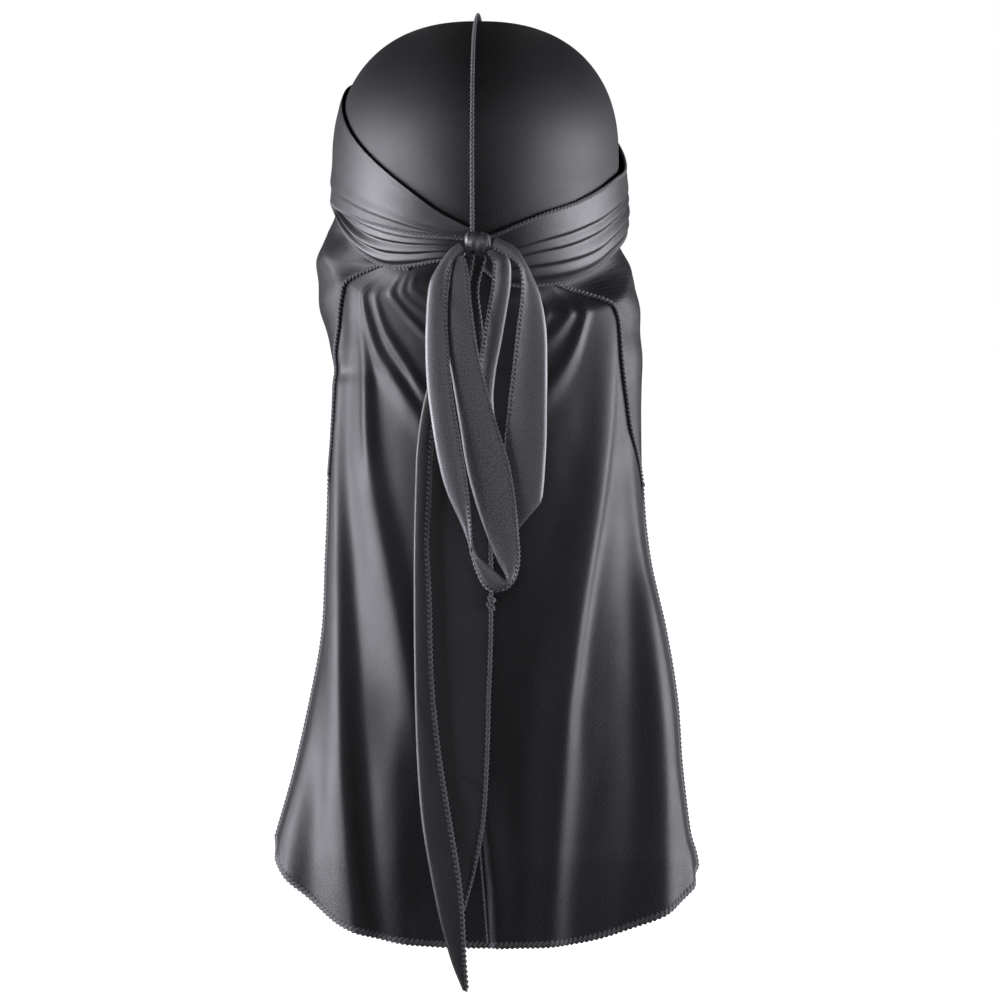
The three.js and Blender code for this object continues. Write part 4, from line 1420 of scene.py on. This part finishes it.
class DURAG_OT_bow(bpy.types.Operator):
    """Makes the two hanging loops of the bow"""

    bl_idname = "durag.bow"
    bl_label = "Bow loops"

    def execute(self, context):
        loops = (("bow_loop_left", LOOP_LEFT, (0.032, 0.42)), ("bow_loop_right", LOOP_RIGHT, (0.034, 0.31)))
        for name, table, flat in loops:
            surface = ribbon_surface(table, LOOP_BULGE, True)
            loop = cloth_piece(f"{name}_satin", surface, FOLDED_RIBBON_GRID, ("doubled",), behind)
            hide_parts(name)
            points, outward = ribbon_open_edge(table, 500, 0.5)
            edge = rope_piece(f"{name}_overlock", [rope_path(points, outward, wide=1.05, tall=1.2)])
        return {"FINISHED"}


# How far down the tuft of loose thread stands, and its way from the edge, in millimetres
TUFT_FALL = 337
TUFT_WAY = ((-1.8, -1.2, 3.5), (1.6, -2.0, 1.4), (-1.2, -2.2, -1.0), (2.2, -1.4, -4.2))


class DURAG_OT_tails(bpy.types.Operator):
    """Makes the two free ends of the straps"""

    bl_idname = "durag.tails"
    bl_label = "Free ends"

    def execute(self, context):
        tails = (
            ("tail_long", TAIL_LONG, True, FOLDED_RIBBON_GRID, 0.6, (0.022, 0.44)),
            ("tail_short", TAIL_SHORT, False, OPEN_RIBBON_GRID, 0.8, (0.026, 0.385)),
        )
        for name, table, folded, grid, bulge, flat in tails:
            surface = ribbon_surface(table, bulge, folded)
            tail = cloth_piece(f"{name}_satin", surface, grid, ("strap",), behind)
            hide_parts(name)
            points, outward = ribbon_open_edge(table, 500, 0.6)
            wide, tall = (1.3, 1.2) if folded else (1.0, 0.9)
            paths = [rope_path(points, outward, wide, tall, stretched=HEM_STRETCH)]
            if not folded:
                # A tuft of loose thread stands on the edge just below the bow
                near = points[np.argmin(np.abs(points[:, 2] + TUFT_FALL))]
                tuft = near + np.array(TUFT_WAY)
                facing = np.broadcast_to(behind(near), tuft.shape)
                paths.append(rope_path(tuft, facing, wide=1.2, tall=1.1, stretched=0.7))
            edge = rope_piece(f"{name}_overlock", paths)
        return {"FINISHED"}


class DURAG_OT_cape(bpy.types.Operator):
    """Makes the long cape with its folds, folded-back sides and overlocked edges"""

    bl_idname = "durag.cape"
    bl_label = "Cape"

    def execute(self, context):
        cloth = context.scene.durag_cloth
        grid = (cloth.cape_columns, cloth.cape_rows)
        cape = cloth_piece("cape_satin", cape_surface, grid, ("face", "reverse"), from_head_axis)
        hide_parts("cape")
        sides = [edge_path(cape_surface, "along", value, 500, inset=0.6) for value in (0.0, 1.0)]
        # The cape's own middle seam shows only near the hem, right of the long free end
        down = np.linspace(0.8, 0.997, 160)
        turn = np.interp(down, (0.8, 1), (1.4, 4.0))
        seam = cape_surface(0.5 + turn / CAPE_SPREAD * (0.5 - CAPE_FLAP_SHARE), down)
        facing = np.broadcast_to(behind(seam), seam.shape)
        seam_sizes = {"wide": 0.8, "tall": 1.3 * STITCH_FLATNESS, "slim": ((0, 0.4, 1), (0.3, 1, 1))}
        sides.append(rope_path(seam, facing, **seam_sizes))
        side_edges = rope_piece("cape_side_overlock", sides)
        hem_sizes = {
            "wide": cloth.hem_width / cloth.stitch_width,
            "tall": STITCH_FLATNESS,
            "stretched": HEM_STRETCH,
        }
        hem_path = edge_path(cape_surface, "across", 1.0, 900, inset=1.4, **hem_sizes)
        hem = rope_piece("cape_hem_overlock", [hem_path])
        return {"FINISHED"}


# The floor, under the cape's hem, in metres
FLOOR_SIZE = 24
FLOOR_HEIGHT = -0.60

# Each lamp's name, place, width and power. The two at the sides skim the folds and make their
# bright streaks; the weak one behind fills the middle of the cape.
LAMPS = (
    ("softbox_left", (-1.6, -0.24, -0.3), 1.3, 96.0),
    ("softbox_right", (1.65, 0.02, -0.3), 1.3, 72.0),
    ("softbox_behind", (0.3, -2.6, 0.55), 1.5, 9.5),
)
LAMP_TARGET = (0, -0.05, -0.25)
LAMP_HEIGHT = 0.9
LAMP_COLOUR = (0.94, 0.92, 1.0)

# The camera stands behind the wearer, a little to the right and above, and sees a width of 0.58 m
CAMERA_AZIMUTH = 2
CAMERA_ELEVATION = 3
CAMERA_DISTANCE = 4.5
CAMERA_SENSOR = 36
CAMERA_WIDTH = 0.58
CAMERA_AIM = (0, -0.09, -0.277)
CAMERA_AIM_RIGHT = 0.016


class DURAG_OT_stage(bpy.types.Operator):
    """Makes the plain floor, the soft light and the camera"""

    bl_idname = "durag.stage"
    bl_label = "Stage"

    def execute(self, context):
        colours = context.scene.durag_colours
        deselect_all()
        bpy.ops.mesh.primitive_plane_add(size=FLOOR_SIZE, location=(0, 0, FLOOR_HEIGHT))
        floor = context.active_object
        floor.name = "floor"
        paper = bpy.data.materials.new("matt_white_paper")
        paper.use_nodes = True
        shader = paper.node_tree.nodes["Principled BSDF"]
        # It shows pale, but sends hardly any light back up, so that the satin keeps its darks
        shader.inputs["Base Color"].default_value = (*srgb_to_linear("#505050"), 1.0)
        shader.inputs["Roughness"].default_value = 0.9
        shader.inputs["Emission Color"].default_value = (*colours.ground, 1.0)
        seen = add_node(paper.node_tree, "ShaderNodeLightPath")
        glow = add_node(
            paper.node_tree,
            "ShaderNodeMapRange",
            None,
            {"Value": seen.outputs["Is Camera Ray"], "To Min": 0.02, "To Max": 1.3},
        )
        paper.node_tree.links.new(glow.outputs["Result"], shader.inputs["Emission Strength"])
        floor.data.materials.append(paper)

        # The ground shows white, and only a weak fill comes from it, so the satin keeps its darks
        world = bpy.data.worlds.new("studio")
        context.scene.world = world
        world.use_nodes = True
        tree = world.node_tree
        tree.nodes.clear()
        path = add_node(tree, "ShaderNodeLightPath")
        strength = add_node(
            tree,
            "ShaderNodeMapRange",
            None,
            {"Value": path.outputs["Is Camera Ray"], "To Min": 0.08, "To Max": 1.0},
        )
        background = add_node(
            tree,
            "ShaderNodeBackground",
            None,
            {"Color": (*srgb_to_linear("#ffffff"), 1.0), "Strength": strength.outputs["Result"]},
        )
        output = add_node(tree, "ShaderNodeOutputWorld")
        tree.links.new(background.outputs["Background"], output.inputs["Surface"])
        context.scene.view_settings.view_transform = "Standard"

        for name, place, width, power in LAMPS:
            lamp = bpy.data.lights.new(name, "AREA")
            lamp.shape = "RECTANGLE"
            lamp.size = width
            lamp.size_y = LAMP_HEIGHT
            lamp.energy = power
            lamp.color = LAMP_COLOUR
            holder = bpy.data.objects.new(name, lamp)
            context.collection.objects.link(holder)
            holder.location = place
            way = Vector(LAMP_TARGET) - Vector(place)
            holder.rotation_euler = way.to_track_quat("-Z", "Y").to_euler()

        azimuth = math.radians(CAMERA_AZIMUTH)
        elevation = math.radians(CAMERA_ELEVATION)
        back = Vector((
            math.sin(azimuth) * math.cos(elevation),
            -math.cos(azimuth) * math.cos(elevation),
            math.sin(elevation),
        ))
        lens = bpy.data.cameras.new("camera")
        lens.sensor_width = CAMERA_SENSOR
        lens.lens = CAMERA_SENSOR * CAMERA_DISTANCE / CAMERA_WIDTH
        camera = bpy.data.objects.new("camera", lens)
        context.collection.objects.link(camera)
        right = Vector((math.cos(azimuth), math.sin(azimuth), 0))
        aim = Vector(CAMERA_AIM) + right * CAMERA_AIM_RIGHT
        camera.location = aim + back * CAMERA_DISTANCE
        camera.rotation_euler = (-back).to_track_quat("-Z", "Y").to_euler()
        lens.clip_start = 0.1
        lens.clip_end = 60
        context.scene.camera = camera
        return {"FINISHED"}


class DURAG_PT_panel(bpy.types.Panel):
    """Lists the durag's sizes, colours and pieces"""

    bl_idname = "DURAG_PT_panel"
    bl_label = "Satin durag"
    bl_space_type = "VIEW_3D"
    bl_region_type = "UI"
    bl_category = "Durag"

    def draw(self, context):
        layout = self.layout
        for group in (context.scene.durag_cloth, context.scene.durag_colours):
            for name in group.__annotations__:
                layout.prop(group, name)
        for operator in OPERATORS:
            layout.operator(operator.bl_idname)


OPERATORS = (
    DURAG_OT_stage,
    DURAG_OT_crown,
    DURAG_OT_wraps,
    DURAG_OT_knot,
    DURAG_OT_bow,
    DURAG_OT_tails,
    DURAG_OT_cape,
)
CLASSES = (DuragCloth, DuragColours, *OPERATORS, DURAG_PT_panel)


def register():
    for entry in CLASSES:
        bpy.utils.register_class(entry)
    bpy.types.Scene.durag_cloth = PointerProperty(type=DuragCloth)
    bpy.types.Scene.durag_colours = PointerProperty(type=DuragColours)


def unregister():
    del bpy.types.Scene.durag_colours
    del bpy.types.Scene.durag_cloth
    for entry in reversed(CLASSES):
        bpy.utils.unregister_class(entry)


def main():
    register()
    bpy.ops.durag.stage()
    bpy.ops.durag.crown()
    bpy.ops.durag.wraps()
    bpy.ops.durag.knot()
    bpy.ops.durag.bow()
    bpy.ops.durag.tails()
    bpy.ops.durag.cape()


if __name__ == "__main__":
    main()
